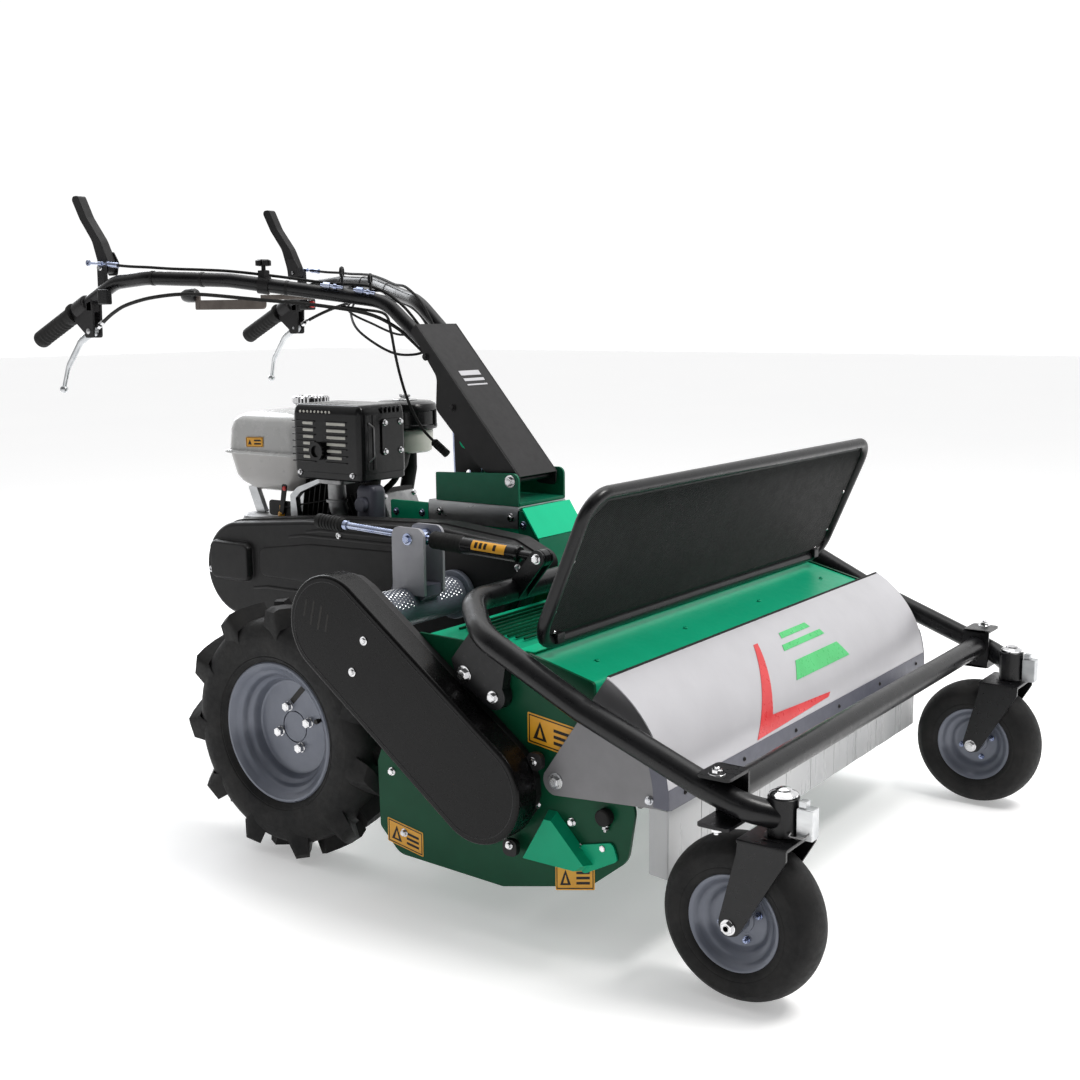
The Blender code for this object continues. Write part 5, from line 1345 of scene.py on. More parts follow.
def fuel_tank():
    """The tank's two pressed halves, its legs, sticker and cap."""
    low, high = (-0.590, -0.105), (-0.335, 0.150)

    def level(z, shrink, radius):
        return [Vector((a, b, z)) for a, b in rectangle((low[0] + shrink, low[1] + shrink),
                                                        (high[0] - shrink, high[1] - shrink), radius, 8)]

    rows = [level(*row) for row in (
        (0.6865, 0.0100, 0.034), (0.6870, 0.0010, 0.036), (0.6885, 0.0, 0.036), (0.6915, 0.0, 0.036),
        (0.6930, 0.0010, 0.036), (0.6940, 0.0080, 0.034), (0.6960, 0.0090, 0.034), (0.7400, 0.0120, 0.034),
        (0.7580, 0.0165, 0.034), (0.7680, 0.0240, 0.034), (0.7740, 0.0360, 0.032), (0.7780, 0.0560, 0.030),
        (0.7810, 0.0800, 0.025), (0.7825, 0.1100, 0.012))]
    upper = [capped(rows), turned([(0.026, 0), (0.037, 0), (0.034, 0.008), (0.034, 0.015), (0.026, 0.015)],
                                  (-0.430, 0.030, 0.7780), "z", 48, closed=True)]
    make("tank_upper", "machine", "tank", upper, ("fuel_tank",), angle=30)
    rows = []
    for z, near, far, radius in ((0.6060, (-0.512, -0.066), (-0.396, 0.110), 0.022),
                                 (0.6100, (-0.528, -0.074), (-0.382, 0.118), 0.026),
                                 (0.6240, (-0.556, -0.084), (-0.364, 0.130), 0.030),
                                 (0.6380, (-0.569, -0.088), (-0.355, 0.136), 0.032),
                                 (0.6868, (-0.5805, -0.0955), (-0.3445, 0.1405), 0.034)):
        rows.append([Vector((a, b, z)) for a, b in rectangle(near, far, radius, 8)])
    make("tank_lower", "machine", "tank_low", [capped(rows)], angle=30)
    legs = []
    for y in (-0.074, 0.060):
        legs.append(plate([rounded([(-0.508, 0.5555), (-0.480, 0.5555), (-0.505, 0.612), (-0.532, 0.612)],
                                   0.003, 4)], y, y + 0.012, bevel=0.002))
    legs.append(plate([rounded([(-0.368, 0.5556), (-0.346, 0.5556), (-0.352, 0.600), (-0.336, 0.614),
                                (-0.276, 0.638),
                                (-0.280, 0.646), (-0.345, 0.624), (-0.368, 0.606)], 0.004, 4)],
                      -0.104, -0.090, bevel=0.002))
    make("tank_legs", "machine", "sheet", legs)
    film, marks = sticker(((-0.508, 0.702), (-0.454, 0.704), (-0.454, 0.726), (-0.508, 0.724)), -0.0962,
                          [[[(0.12, 0.25), (0.34, 0.25), (0.23, 0.75)]],
                           [[(0.48, 0.25), (0.88, 0.25), (0.88, 0.42),
                            (0.48, 0.42)]], [[(0.48, 0.58), (0.88, 0.58), (0.88, 0.75), (0.48, 0.75)]]])
    make("tank_sticker", "machine", "amber", [film])
    make("tank_sticker_print", "machine", "ink", marks)
    cap = ribbed([(0.004, 0.0, False), (0.0385, 0.0, False), (0.0410, 0.0030, True), (0.0410, 0.0140, True),
                  (0.0385, 0.0170, True), (0.0340, 0.0185, False), (0.0280, 0.0180, False),
                  (0.0260, 0.0165, False), (0.0080, 0.0165, False), (0.0070, 0.0185, False)],
                 (-0.430, 0.030, 0.7935), "z", 30, 0.0022)
    make("filler_cap", "filler_cap", "chrome", [cap], ("fuel_cap",), angle=28)


def air_cleaner():
    """The round air cleaner with its lid, wing nut and hoses."""
    at = (-0.205, 0.092, 0.692)
    base = turned([(0, 0), (0.050, 0), (0.057, 0.004), (0.058, 0.020), (0.0600, 0.024), (0.0600, 0.048),
                   (0.056, 0.0520), (0, 0.0520)], at, "z", 64)
    make("air_cleaner_base", "machine", "cream", [base], ("air_cleaner",), angle=30)
    lid = [turned([(0.050, 0.0500), (0.0690, 0.0520), (0.0700, 0.0550), (0.0700, 0.0600), (0.0675, 0.0620),
                   (0.0675, 0.0900), (0.0700, 0.0920), (0.0700, 0.0980), (0.0660, 0.1060), (0.0560, 0.1110),
                   (0.0300, 0.1130), (0.0180, 0.1130), (0, 0.1130)], at, "z", 64)]
    for k in range(4):
        turn = math.radians(20 + 90 * k)
        x, y = at[0] + 0.0672 * math.cos(turn), at[1] + 0.0672 * math.sin(turn)
        lid.append(box((x - 0.005, y - 0.004, at[2] + 0.056), (x + 0.005, y + 0.004, at[2] + 0.094),
                       bevel=0.002))
    make("air_cleaner_lid", "machine", "gloss", lid, angle=30)
    top = [turned([(0, 0.1130), (0.026, 0.1132), (0.028, 0.1140), (0.024, 0.1165), (0.010, 0.1175),
                   (0, 0.1175)],
                  at, "z", 48), rod((at[0], at[1], 0.806), (at[0], at[1], 0.8170), 0.0048, 16)]
    for s in SIDES:
        top.append(plate([rounded([(at[0] + s * 0.002, 0.8080), (at[0] + s * 0.014, 0.8110),
                                   (at[0] + s * 0.016, 0.8178), (at[0] + s * 0.005, 0.8160)], 0.002, 4)],
                         at[1] - 0.0014, at[1] + 0.0014, bevel=0.0006))
    make("air_cleaner_nut", "machine", "chrome", top, angle=35)
    hose = [pipe(bent([(-0.205, 0.104, 0.694), (-0.205, 0.104, 0.655), (-0.214, 0.100, 0.604)], 0.03, 6),
                 0.0155, 20)]
    hose.append(pipe(bent([(-0.190, 0.060, 0.690), (-0.160, 0.030, 0.672), (-0.150, -0.010, 0.640),
                           (-0.170, -0.030, 0.615)], 0.03, 6), 0.0065, 14))
    make("air_cleaner_hose", "machine", "rubber", hose)


def recoil():
    """The pull starter's cover, vents, boss, handle and screws."""
    at = (CRANK[0], 0.1123, CRANK[1])
    profile = [(0, 0.001), (0.126, 0.001), (0.1285, 0.004), (0.130, 0.046), (0.1285, 0.051), (0.098, 0.0700),
               (0.094, 0.0720), (0.074, 0.0780), (0.070, 0.0800), (0.030, 0.0800), (0.028, 0.0780),
               (0, 0.0780)]
    body = [cut_below(turned(profile, at, "y", 72), 0.3520)]
    make("recoil_cover", "machine", "plastic", body, ("recoil_housing",), angle=30)
    vents = []
    for k in range(36):
        turn = math.radians(10 * k)
        ray = Vector((math.cos(turn), 0, math.sin(turn)))
        first = Vector(at) + ray * 0.1235 + Vector((0, 0.0548, 0))
        last = Vector(at) + ray * 0.1020 + Vector((0, 0.0680, 0))
        if min(first.z, last.z) > 0.356:
            vents.append(pipe([first, last], 0.002, 8, flat=(0.0030, 0.0006)))
    for k in range(12):
        turn = math.radians(30 * k)
        ray = Vector((math.cos(turn), 0, math.sin(turn)))
        vents.append(pipe([Vector(at) + ray * 0.036 + Vector((0, 0.0802, 0)),
                           Vector(at) + ray * 0.062 + Vector((0, 0.0802, 0))], 0.002, 8,
                           flat=(0.0032, 0.0005)))
    make("recoil_vents", "machine", "ink", vents)
    badge = [turned([(0, 0.078), (0.024, 0.0782), (0.023, 0.0798), (0, 0.0800)], at, "y", 40)]
    make("recoil_boss", "machine", "slate", badge)
    grip = [capped([[Vector((-0.335 + a, 0.165 + y, 0.575 + b)) for a, b in circle((0, 0), r, 20)]
                    for y, r in ((-0.022, 0.006), (-0.020, 0.009), (-0.004, 0.0085), (0.012, 0.009),
                                 (0.014, 0.006))])]
    make("recoil_handle", "machine", "rubber", grip)
    screws = [pan_screw((at[0] + 0.118 * math.cos(t), at[1] + 0.0490, at[2] + 0.118 * math.sin(t)), (0, 1, 0),
                        0.005, 0.0028) for t in (0.3, 1.57, 2.84)]
    make("recoil_screws", "machine", "chrome", screws, angle=30)


# ---------------------------------------------------------------- belt cover and cross tube
def belt_cover():
    """The long moulded cover of the main belt."""
    base = arc(CRANK, 0.103, 100, 262, 36) + arc(JACK, 0.112, 264, 300, 12)
    corners = [(0.305, 0.428), (0.335, 0.475), (0.378, 0.498), (0.388, 0.552), (0.320, 0.582), (0.150, 0.598),
               (-0.200, 0.582)]
    radii = [0] * len(base) + [0.02, 0.02, 0.02, 0.025, 0.03, 0.05, 0.08]
    outline = rounded(base + corners, radii, 6)
    skin = grid(rows_of(outline, [(-0.1655, 0.0), (-0.2050, 0.0), (-0.2060, 0.0030), (-0.2260, 0.0034),
                                  (-0.2305, 0.0048), (-0.2335, 0.0078), (-0.2350, 0.0120), (-0.2345, 0.0140),
                                  (-0.2312, 0.0140), (-0.2280, 0.0060), (-0.1655, 0.0040)], "xz"),
                closed_rows=True, closed_columns=True)
    shapes = [tidy(skin)]
    field = inset(outline, 0.0130)
    shapes.append(plate([field, circle(JACK, 0.0180, 32)], -0.2346, -0.2312, bevel=0.0010))
    panel = rounded([(-0.330, 0.452), (0.080, 0.452), (0.130, 0.486), (0.150, 0.540), (-0.180, 0.533),
                     (-0.330, 0.512)], 0.020, 6)
    shapes.append(loft(panel, [(-0.2340, 0.0), (-0.2362, 0.0016), (-0.2370, 0.0040)], "xz"))
    shapes.append(loft(rectangle((-0.470, 0.436), (-0.350, 0.520), 0.018),
                       [(-0.2330, -0.0040), (-0.2360, 0.0), (-0.2440, 0.0015), (-0.2480, 0.0045),
                        (-0.2490, 0.0085)], "xz"))
    # long folds pressed into the outer face
    for z, start, end in ((0.5620, -0.190, 0.300), (0.5480, -0.240, 0.160), (0.4300, -0.350, 0.120)):
        shapes.append(pipe([(start, -0.2350, z - 0.006), (start + 0.04, -0.2356, z),
                            (end - 0.03, -0.2356, z + 0.004),
                            (end, -0.2350, z + 0.002)], 0.003, 10, flat=(0.0012, 0.0032)))
    make("belt_cover_shell", "machine", "plastic", shapes, ("main_belt_cover",), angle=34)
    screws = [pan_screw(p, (0, -1, 0), 0.0075, 0.0030) for p in
              ((-0.480, -0.2346, 0.452), (-0.100, -0.2346, 0.556), (0.345, -0.2346, 0.535))]
    make("belt_cover_screws", "machine", "chrome", screws, angle=30)


def studs_round(centre, radius, low, high, arc_low, arc_high, pitch=0.0072, height=0.0008):
    """Small raised diamonds over part of a tube that lies along y."""
    work = bmesh.new()
    step = math.degrees(pitch / radius)
    rows = int((high - low) / pitch)
    for i in range(rows):
        y = low + pitch * (i + 0.5)
        turn = arc_low + (step / 2 if i % 2 else 0)
        while turn < arc_high:
            spots = []
            for dy, dt, lift in ((-0.46, 0, 0), (0, -0.46, 0), (0.46, 0, 0), (0, 0.46, 0), (0, 0, 1)):
                t = math.radians(turn + dt * step)
                reach = radius + lift * height - (0.0003 if not lift else 0)
                spots.append(work.verts.new((centre[0] + reach * math.cos(t), y + dy * pitch,
                                             centre[1] + reach * math.sin(t))))
            for k in range(4):
                work.faces.new((spots[k], spots[(k + 1) % 4], spots[4]))
            work.faces.new(list(reversed(spots[:4])))
            turn += step
    return tidy(work)


def cross_tube():
    """The tube round the cross shaft, with a studded tread on its upper side."""
    low, face = -0.5077, -0.2353
    tube = turned([(0.0145, low), (0.0342, low), (0.0350, low + 0.0008), (0.0350, face - 0.0120),
                   (0.0445, face - 0.0120), (0.0460, face - 0.0105), (0.0460, face - 0.0010),
                   (0.0450, face), (0.0145, face)], (JACK[0], 0, JACK[1]), "y", 64, closed=True)
    make("cross_tube_body", "machine", "rim", [tube], ("cross_tube",), angle=30)
    make("cross_tube_tread", "machine", "sheet",
         [studs_round(JACK, 0.0350, low + 0.010, ADJUST_Y - 0.034, 12, 168),
          studs_round(JACK, 0.0350, ADJUST_Y + 0.034, face - 0.014, 12, 168)], angle=10)
    ring = [turned([(0.0352, -0.0035), (0.0385, -0.0025), (0.0385, 0.0025), (0.0352, 0.0035)],
                   (JACK[0], low + 0.006, JACK[1]), "y", 48, closed=True)]
    make("cross_tube_weld", "machine", "slate", ring)


# ---------------------------------------------------------------- height adjuster
def height_adjuster():
    """Tower, trunnion, threaded rod with its grip, and the sleeve that it turns in."""
    cheeks = []
    for y in (-0.026, 0.026):
        cheeks.append(plate([rounded([(0.176, 0.4960), (0.250, 0.4960), (0.250, 0.617), (0.176, 0.617)],
                                     [0.003, 0.003, 0.016, 0.016], 8),
                             circle((TRUNNION.x, TRUNNION.z), 0.0090, 24)],
                            ADJUST_Y + y - 0.003, ADJUST_Y + y + 0.003, bevel=0.0010))
    cheeks.append(box((0.1765, ADJUST_Y - 0.0235, 0.504), (0.1810, ADJUST_Y + 0.0235, 0.570), bevel=0.0010))
    make("adjuster_cheeks", "machine", "tower", cheeks, ("adjuster_tower",), angle=30)
    saddle = arc(JACK, 0.0362, 20, 150, 24)
    saddle += [(0.1640, 0.4960), (0.1700, 0.5135), (0.2460, 0.5135), (0.2460, 0.4940)]
    foot = plate([saddle], ADJUST_Y - 0.0225, ADJUST_Y + 0.0225, bevel=0.0010)
    make("adjuster_foot", "machine", "slate", [foot], angle=30)
    block = [turned([(0, -0.0228), (0.0130, -0.0228), (0.0140, -0.0218), (0.0140, 0.0218), (0.0130, 0.0228),
                     (0, 0.0228)], TRUNNION, "y", 40)]
    for s in SIDES:
        block.append(bolt(TRUNNION + Vector((0, s * 0.0290, 0)), (0, s, 0), 0.0125, 0.0050, 0.0110))
    make("adjuster_trunnion", "machine", "blue_zinc", block, angle=30)

    aim = (ADJUST_PIN - TRUNNION).normalized()
    thread = [(0, -0.185), (0.0060, -0.185), (0.0065, -0.182), (0.0065, -0.060)]
    travel = -0.058
    while travel < 0.148:
        thread += [(0.0058, travel), (0.0066, travel + 0.0010)]
        travel += 0.0021
    thread += [(0.0058, 0.1490), (0, 0.1500)]
    screw = [turned(thread, TRUNNION, aim, 20)]
    for at in (-0.0240, 0.0155):
        screw.append(hexagon(TRUNNION + aim * at, aim, 0.0200, 0.0078))
    screw.append(turned([(0, -0.0005), (0.0120, 0), (0.0120, 0.0014), (0, 0.0016)],
                        TRUNNION + aim * -0.0166, aim, 28))
    screw.append(turned([(0.0066, 0), (0.0090, 0.001), (0.0090, 0.0100), (0.0066, 0.0110)],
                        TRUNNION - aim * 0.180, aim, 24, closed=True))
    make("adjuster_thread", "height_screw", "blue_zinc", screw, ("adjuster_screw",), angle=40)
    handle = [(0, -0.2480), (0.0110, -0.2480), (0.0138, -0.2450)]
    for k in range(7):
        at = -0.2400 + 0.0080 * k
        handle += [(0.0140, at), (0.0140, at + 0.0050), (0.0122, at + 0.0060), (0.0122, at + 0.0070)]
    handle += [(0.0110, -0.1815), (0.0070, -0.1800), (0, -0.1800)]
    make("adjuster_grip", "height_screw", "rubber", [turned(handle, TRUNNION, aim, 36)], angle=35)

    pin = ADJUST_PIN
    sleeve = [(0.0090, -0.2360), (0.0150, -0.2360), (0.0158, -0.2345)]
    for k in range(9):
        at = -0.2330 + 0.0072 * k
        sleeve += [(0.0160, at), (0.0160, at + 0.0022), (0.0138, at + 0.0044), (0.0138, at + 0.0056)]
    make("adjuster_bellows", "height_sleeve", "rubber",
         [turned(sleeve + [(0.0150, -0.1660), (0.0090, -0.1660)], pin, aim, 36, closed=True)], angle=50)
    smooth_tube = [(0.0090, -0.1655), (0.0148, -0.1655), (0.0152, -0.1640), (0.0152, -0.0480),
                   (0.0130, -0.0450), (0.0085, -0.0440), (0.0085, -0.0600), (0.0090, -0.0610)]
    tube = [turned(smooth_tube, pin, aim, 40, closed=True),
            rod(pin - aim * 0.0485, pin - aim * 0.0120, 0.0080, 20),
            turned([(0.0056, -0.0085), (0.0140, -0.0085), (0.0150, -0.0075), (0.0150, 0.0075),
                    (0.0140, 0.0085), (0.0056, 0.0085)], pin, "y", 40, closed=True)]
    make("adjuster_sleeve", "height_sleeve", "gloss", tube, ("adjuster_tube",), angle=35)
    # a label on the sleeve's right-hand face, and its printed bars
    over = axes_of(aim)[1]
    over = over if over.z > 0 else -over
    label = []
    for k in range(9):
        turn = math.radians(-8 + 8.5 * k)
        ray = Vector((0, -1, 0)) * math.cos(turn) + over * math.sin(turn)
        label.append([pin - aim * d + ray * r for d, r in ((0.140, 0.0153), (0.140, 0.0156), (0.068, 0.0156),
                                                           (0.068, 0.0153))])
    make("adjuster_sticker", "height_sleeve", "amber", [capped(label)], angle=40)
    bars = []
    half = 0.0030
    for at in (0.130, 0.120, 0.110, 0.090):
        rows = []
        for k in range(9):
            turn = math.radians(6 + 5 * k)
            ray = Vector((0, -1, 0)) * math.cos(turn) + over * math.sin(turn)
            rows.append([pin - aim * d + ray * r for d, r in ((at + half, 0.0155), (at + half, 0.0158),
                                                              (at - half, 0.0158), (at - half, 0.0155))])
        bars.append(capped(rows))
    make("adjuster_sticker_print", "height_sleeve", "ink", bars, angle=40)


# ---------------------------------------------------------------- lifting frame
def lift_frame():
    """The bent tube frame that carries the casters, and its front crossbar."""
    def arm(s):
        return [(0.430, s * 0.475, 0.525), (0.512, s * 0.552, 0.492), (0.700, s * 0.552, 0.403),
                (0.900, s * 0.552, 0.328), (0.972, s * 0.545, 0.302), (1.008, s * 0.518, 0.290)]

    path = bent(list(reversed(arm(-1))) + arm(1), 0.075, 14)
    frame_shapes = [pipe(path, 0.0200, 28)]
    lug = [(0.432, 0.440)] + arc(LIFT, 0.018, 180, 270, 8)
    lug += [(0.514, 0.368)] + arc((0.518, 0.390), 0.022, -80, 40, 8) + [(0.545, 0.462), (0.480, 0.500)]
    for s in SIDES:
        frame_shapes.append(plate([lug], s * 0.5125, s * 0.5330, bevel=0.0020))
        frame_shapes.append(turned([(0.0094, 0), (0.0220, 0), (0.0230, 0.001), (0.0230, 0.055),
                                    (0.0220, 0.056),
                                    (0.0094, 0.056)], (SPINDLE_X, s * SPINDLE_Y, 0.262), "z", 44,
                                    closed=True))
    ear = [(0.418, 0.528), (0.446, 0.512)] + arc((ADJUST_PIN.x, ADJUST_PIN.z), 0.015, -45, 135, 14)
    for y in (ADJUST_Y - 0.0145, ADJUST_Y + 0.0095):
        frame_shapes.append(plate([ear, circle((ADJUST_PIN.x, ADJUST_PIN.z), 0.0050, 20)], y, y + 0.005,
                                  bevel=0.0008))
    # welded gussets where the lugs meet the tube
    for s in SIDES:
        frame_shapes.append(box((0.470, min(s * 0.508, s * 0.536), 0.478),
                                (0.508, max(s * 0.508, s * 0.536), 0.500),
                                bevel=0.006, segments=3))
    make("lift_frame_tube", "lift", "black", frame_shapes, ("lift_frame",), angle=34)
    pins = [rod(ADJUST_PIN + Vector((0, -0.0170, 0)), ADJUST_PIN + Vector((0, 0.0170, 0)), 0.0049, 18)]
    pins += [bolt(ADJUST_PIN + Vector((0, s * 0.0145, 0)), (0, s, 0), 0.0120, 0.0050, 0.0090) for s in SIDES]
    for s in SIDES:
        pins.append(bolt((LIFT[0], s * 0.5330, LIFT[1]), (0, s, 0), 0.0170, 0.0062, 0.0145))
        pins.append(bolt((0.516, s * 0.5330, 0.389), (0, s, 0), 0.0130, 0.0052, 0.0105))
        pins.append(rod((LIFT[0], s * 0.5085, LIFT[1]), (LIFT[0], s * 0.5330, LIFT[1]), 0.0105, 20))
    make("lift_frame_bolts", "lift", "chrome", pins, angle=30)

    x, z = 0.938, 0.316
    bar = [turned([(0, -0.5170), (0.0200, -0.5170), (0.0200, 0.5170), (0, 0.5170)], (x, 0, z), "y", 48)]
    for s in SIDES:
        bar.append(plate([rectangle((x - 0.026, z - 0.042), (x + 0.026, z + 0.035), 0.004)], s * 0.5165,
                         s * 0.5215, bevel=0.0008))
        for height in (z - 0.042, z + 0.030):
            near, far = sorted((s * 0.5165, s * 0.580))
            bar.append(plate([rectangle((x - 0.026, near), (x + 0.026, far), 0.007)], height,
                             height + 0.005, "xy", bevel=0.0008))
    make("front_crossbar_tube", "lift", "black", bar, ("front_crossbar",), angle=34)
    nuts = []
    for s in SIDES:
        nuts.append(bolt((x, s * 0.566, z + 0.035), "z", 0.0140, 0.0060, 0.0120, 0.004))
        nuts.append(bolt((x, s * 0.566, z - 0.042), (0, 0, -1), 0.0140, 0.0060, 0.0120, 0.004))
    make("front_crossbar_bolts", "lift", "chrome", nuts, angle=30)


# ---------------------------------------------------------------- console, rail and turret
def console():
    """The green console with its hood, and the zinc rail that the turret turns on."""
    body = [box((-0.100, -0.0740, 0.5820), (0.236, 0.0740, 0.5875), bevel=0.0010)]
    for s in SIDES:
        body.append(plate([rounded([(-0.100, 0.3315), (0.238, 0.3315), (0.238, 0.5870), (-0.100, 0.5870)],
                                   [0.004, 0.002, 0.002, 0.012], 5)], s * 0.0705, s * 0.0745, bevel=0.0010))
        # folded rim of the rear rail
        body.append(plate([rectangle((-0.100, 0.5680), (0.0010, 0.6120), 0.004)], s * 0.0720, s * 0.0785,
                          bevel=0.0012))
    body.append(box((-0.0985, -0.0720, 0.5870), (0.0005, 0.0720, 0.5915), bevel=0.0010))
    make("console_body", "machine", "green", body, ("console",), angle=30)
    # top facet in the lightened copy of the green: painted highlight on the face that meets the key light
    upper = [(0.238, 0.6155), (0.275, 0.5600)]
    make("console_hood", "machine", "green_painted_highlight",
         [plate([folded(upper, -0.004)], -0.080, 0.080, bevel=0.0009)], angle=24)
    # lower facets and their cheeks in a darkened copy of the same green: painted shade on faces turned
    # forward and down
    lower = bent([(0.275, 0, 0.5600), (0.285, 0, 0.5240), (0.300, 0, 0.480), (0.300, 0, 0.400)], 0.012, 5)
    lower = [plate([folded([(p.x, p.z) for p in lower], -0.004)], -0.0798, 0.0798, bevel=0.0009)]
    cheek = [(0.2285, 0.6120), (0.2370, 0.6120), (0.2725, 0.5590), (0.2825, 0.5240), (0.2955, 0.4840),
             (0.2700, 0.4700), (0.2550, 0.5200), (0.2285, 0.5740)]
    for s in SIDES:
        lower.append(plate([rounded(cheek, 0.003, 3)], s * 0.0755, s * 0.0790, bevel=0.0008))
    make("console_hood_front", "machine", "green_painted_shade", lower, angle=24)
    # near-black discs laid on the lower facet stand for its perforations: painted shade where the holes are
    dots = []
    first, last = Vector((0.2862, 0, 0.5205)), Vector((0.2975, 0, 0.4870))
    out = Vector((0.946, 0, 0.324))
    for i in range(9):
        for j in range(24):
            y = -0.0740 + 0.0062 * j + (0.0031 if i % 2 else 0)
            spot = first.lerp(last, i / 8) + Vector((0, y, 0)) + out * 0.0001
            dots.append(turned([(0, 0.0), (0.0021, 0.0), (0.0021, 0.0003), (0, 0.0003)], spot, out, 8))
    make("console_hood_holes", "machine", "ink", dots)
    bolts = [bolt((x, s * 0.0785, z), (0, s, 0), 0.0095, 0.0042, 0.0080) for s in SIDES
             for x, z in ((-0.085, 0.588), (-0.015, 0.590))]
    bolts += [bolt((0.2420, s * 0.0790, 0.5840), (0, s, 0), 0.0095, 0.0042, 0.0085) for s in SIDES]
    make("console_bolts", "machine", "blue_zinc", bolts, angle=30)

    rail = [box((0.003, -0.0780, 0.6140), (0.232, 0.0780, 0.6195), bevel=0.0014)]
    for s in SIDES:
        rail.append(plate([rectangle((0.003, 0.5760), (0.232, 0.6190), 0.004)], s * 0.0750, s * 0.0790,
                          bevel=0.0010))
    rail.append(turned([(0, 0.5880), (0.0270, 0.5880), (0.0280, 0.5890), (0.0280, 0.6150), (0, 0.6150)],
                       TURRET_AXIS, "z", 40))
    rail.append(turned([(0, 0.6100), (0.0090, 0.6100), (0.0090, 0.6390), (0.0080, 0.6400), (0, 0.6400)],
                       TURRET_AXIS, "z", 28))
    make("steering_rail_plate", "machine", "sheet", rail, ("steering_rail",), angle=30)
    rail_bolts = [bolt((x, s * 0.0790, 0.597), (0, s, 0), 0.0100, 0.0045, 0.0085) for x in (0.033, 0.212)
                  for s in SIDES]
    make("steering_rail_bolts", "machine", "chrome", rail_bolts, angle=30)


def turret():
    """The turret's bracket and sector plates."""
    base = [box((0.023, -0.0780, 0.6200), (0.231, 0.0780, 0.6260), bevel=0.0010)]
    for s in SIDES:
        base.append(plate([rounded([(0.023, 0.6200), (0.231, 0.6200), (0.231, 0.684), (0.023, 0.676)],
                                   [0.002, 0.002, 0.014, 0.003], 6)],
                          s * 0.0735, s * 0.0785, bevel=0.0010))
    ring = turned([(0.0098, 0.6258), (0.0240, 0.6258), (0.0240, 0.6330), (0.0098, 0.6330)], TURRET_AXIS,
                  "z", 40, closed=True)
    base.append(ring)
    # the bracket takes the darkened copy of the green: painted shade
    make("turret_bracket", "turret", "green_painted_shade", base, ("handle_turret",), angle=30)
    sector = [(0.030, 0.6245), (0.100, 0.6245), (0.102, 0.700)] + arc(SECTOR_HUB, 0.041, 20, 150, 18)
    holes = [circle(arc(SECTOR_HUB, 0.027, t, t, 1)[0], 0.0042, 16) for t in (35, 75, 115, 150)]
    holes.append(circle((0.066, 0.668), 0.010, 24))
    plates = [plate([sector] + holes, y, y + 0.004, bevel=0.0007) for y in (-0.0265, 0.0225)]
    make("turret_sector", "turret", "satin", plates, angle=30)
    band = inset(sector, -0.0004)
    trims = []
    for y in (-0.0262, 0.0228):
        trims.append(plate([band, inset(sector, 0.0030)], y - 0.0004, y + 0.0038, bevel=0))
    make("turret_sector_edges", "turret", "blue_zinc", trims, angle=20)
    bolts = [bolt((0.211, s * 0.0785, 0.668), (0, s, 0), 0.0150, 0.0060, 0.0125) for s in SIDES]
    bolts.append(turned([(0, 0), (0.0140, 0), (0.0150, 0.0015), (0.0100, 0.0040), (0, 0.0045)],
                        (0.120, 0, 0.6400), "z", 32))
    make("turret_bolts", "turret", "chrome", bolts, angle=30)
    # the bushes take the lightened copy of the green: painted highlight
    bush = [turned([(0.0065, -0.0018), (0.0150, -0.0018), (0.0160, 0), (0.0150, 0.0018), (0.0065, 0.0018)],
                   (SECTOR_HUB[0], y, SECTOR_HUB[1]), "y", 32, closed=True) for y in (-0.0285, 0.0285)]
    make("turret_bushes", "turret", "green_painted_highlight", bush)


def column():
    """The folded column of the handle."""
    top, foot = (-0.033, 0.970), (0.222, 0.676)
    face = [plate([folded([top, foot], 0.003)], -0.065, 0.065, bevel=0.0012)]
    side = rounded([top, (-0.049, 0.957), (0.018, 0.865), (0.014, 0.800), (0.112, 0.700), (0.180, 0.650),
                    (0.220, 0.648), foot], [0.001, 0.006, 0.030, 0.020, 0.020, 0.012, 0.010, 0.001], 6)
    for s in SIDES:
        face.append(plate([side], s * 0.0595, s * 0.063, bevel=0.0010))
    make("column_shell", "handle", "satin", face, ("handle_column",), angle=30)
    bolts = [bolt((COLUMN_PIVOT[0], s * 0.063, COLUMN_PIVOT[1]), (0, s, 0), 0.0100, 0.0045, 0.0080)
             for s in SIDES]
    bolts += [bolt((x, s * 0.063, z), (0, s, 0), 0.0095, 0.0042, 0.0080)
              for x, z in ((0.058, 0.805), (-0.010, 0.905))
              for s in SIDES]
    bolts.append(rod((COLUMN_PIVOT[0], -0.0715, COLUMN_PIVOT[1]),
                     (COLUMN_PIVOT[0], 0.0715, COLUMN_PIVOT[1]), 0.0059, 18))
    make("column_bolts", "handle", "satin", bolts, angle=30)
    # three plain bands where the column faces forward
    down = Vector((foot[0] - top[0], 0, foot[1] - top[1])).normalized()
    out = Vector((-down.z, 0, down.x))
    bands = []
    for at, half, wide in ((0.130, 0.006, 0.032), (0.147, 0.0035, 0.032), (0.160, 0.0018, 0.032)):
        centre = Vector((top[0], 0, top[1])) + down * at
        rows = []
        for lift in (-0.0002, 0.0005):
            rows.append([centre + down * a + Vector((0, b, 0)) + out * lift
                         for a, b in ((-half, -wide), (half, -wide), (half, wide), (-half, wide))])
        bands.append(capped(rows))
    make("column_bands", "handle", "silver", bands)


# ---------------------------------------------------------------- handlebar
BAR = bent(BAR_ROUTE, 0.09, 12)


def on_bar(x):
    """The bar's centre and direction where it passes x."""
    for a, b in zip(BAR, BAR[1:]):
        if min(a.x, b.x) <= x <= max(a.x, b.x):
            share = (x - a.x) / (b.x - a.x)
            return a.lerp(b, share), (b - a).normalized()
    return BAR[-1], (BAR[-1] - BAR[-2]).normalized()


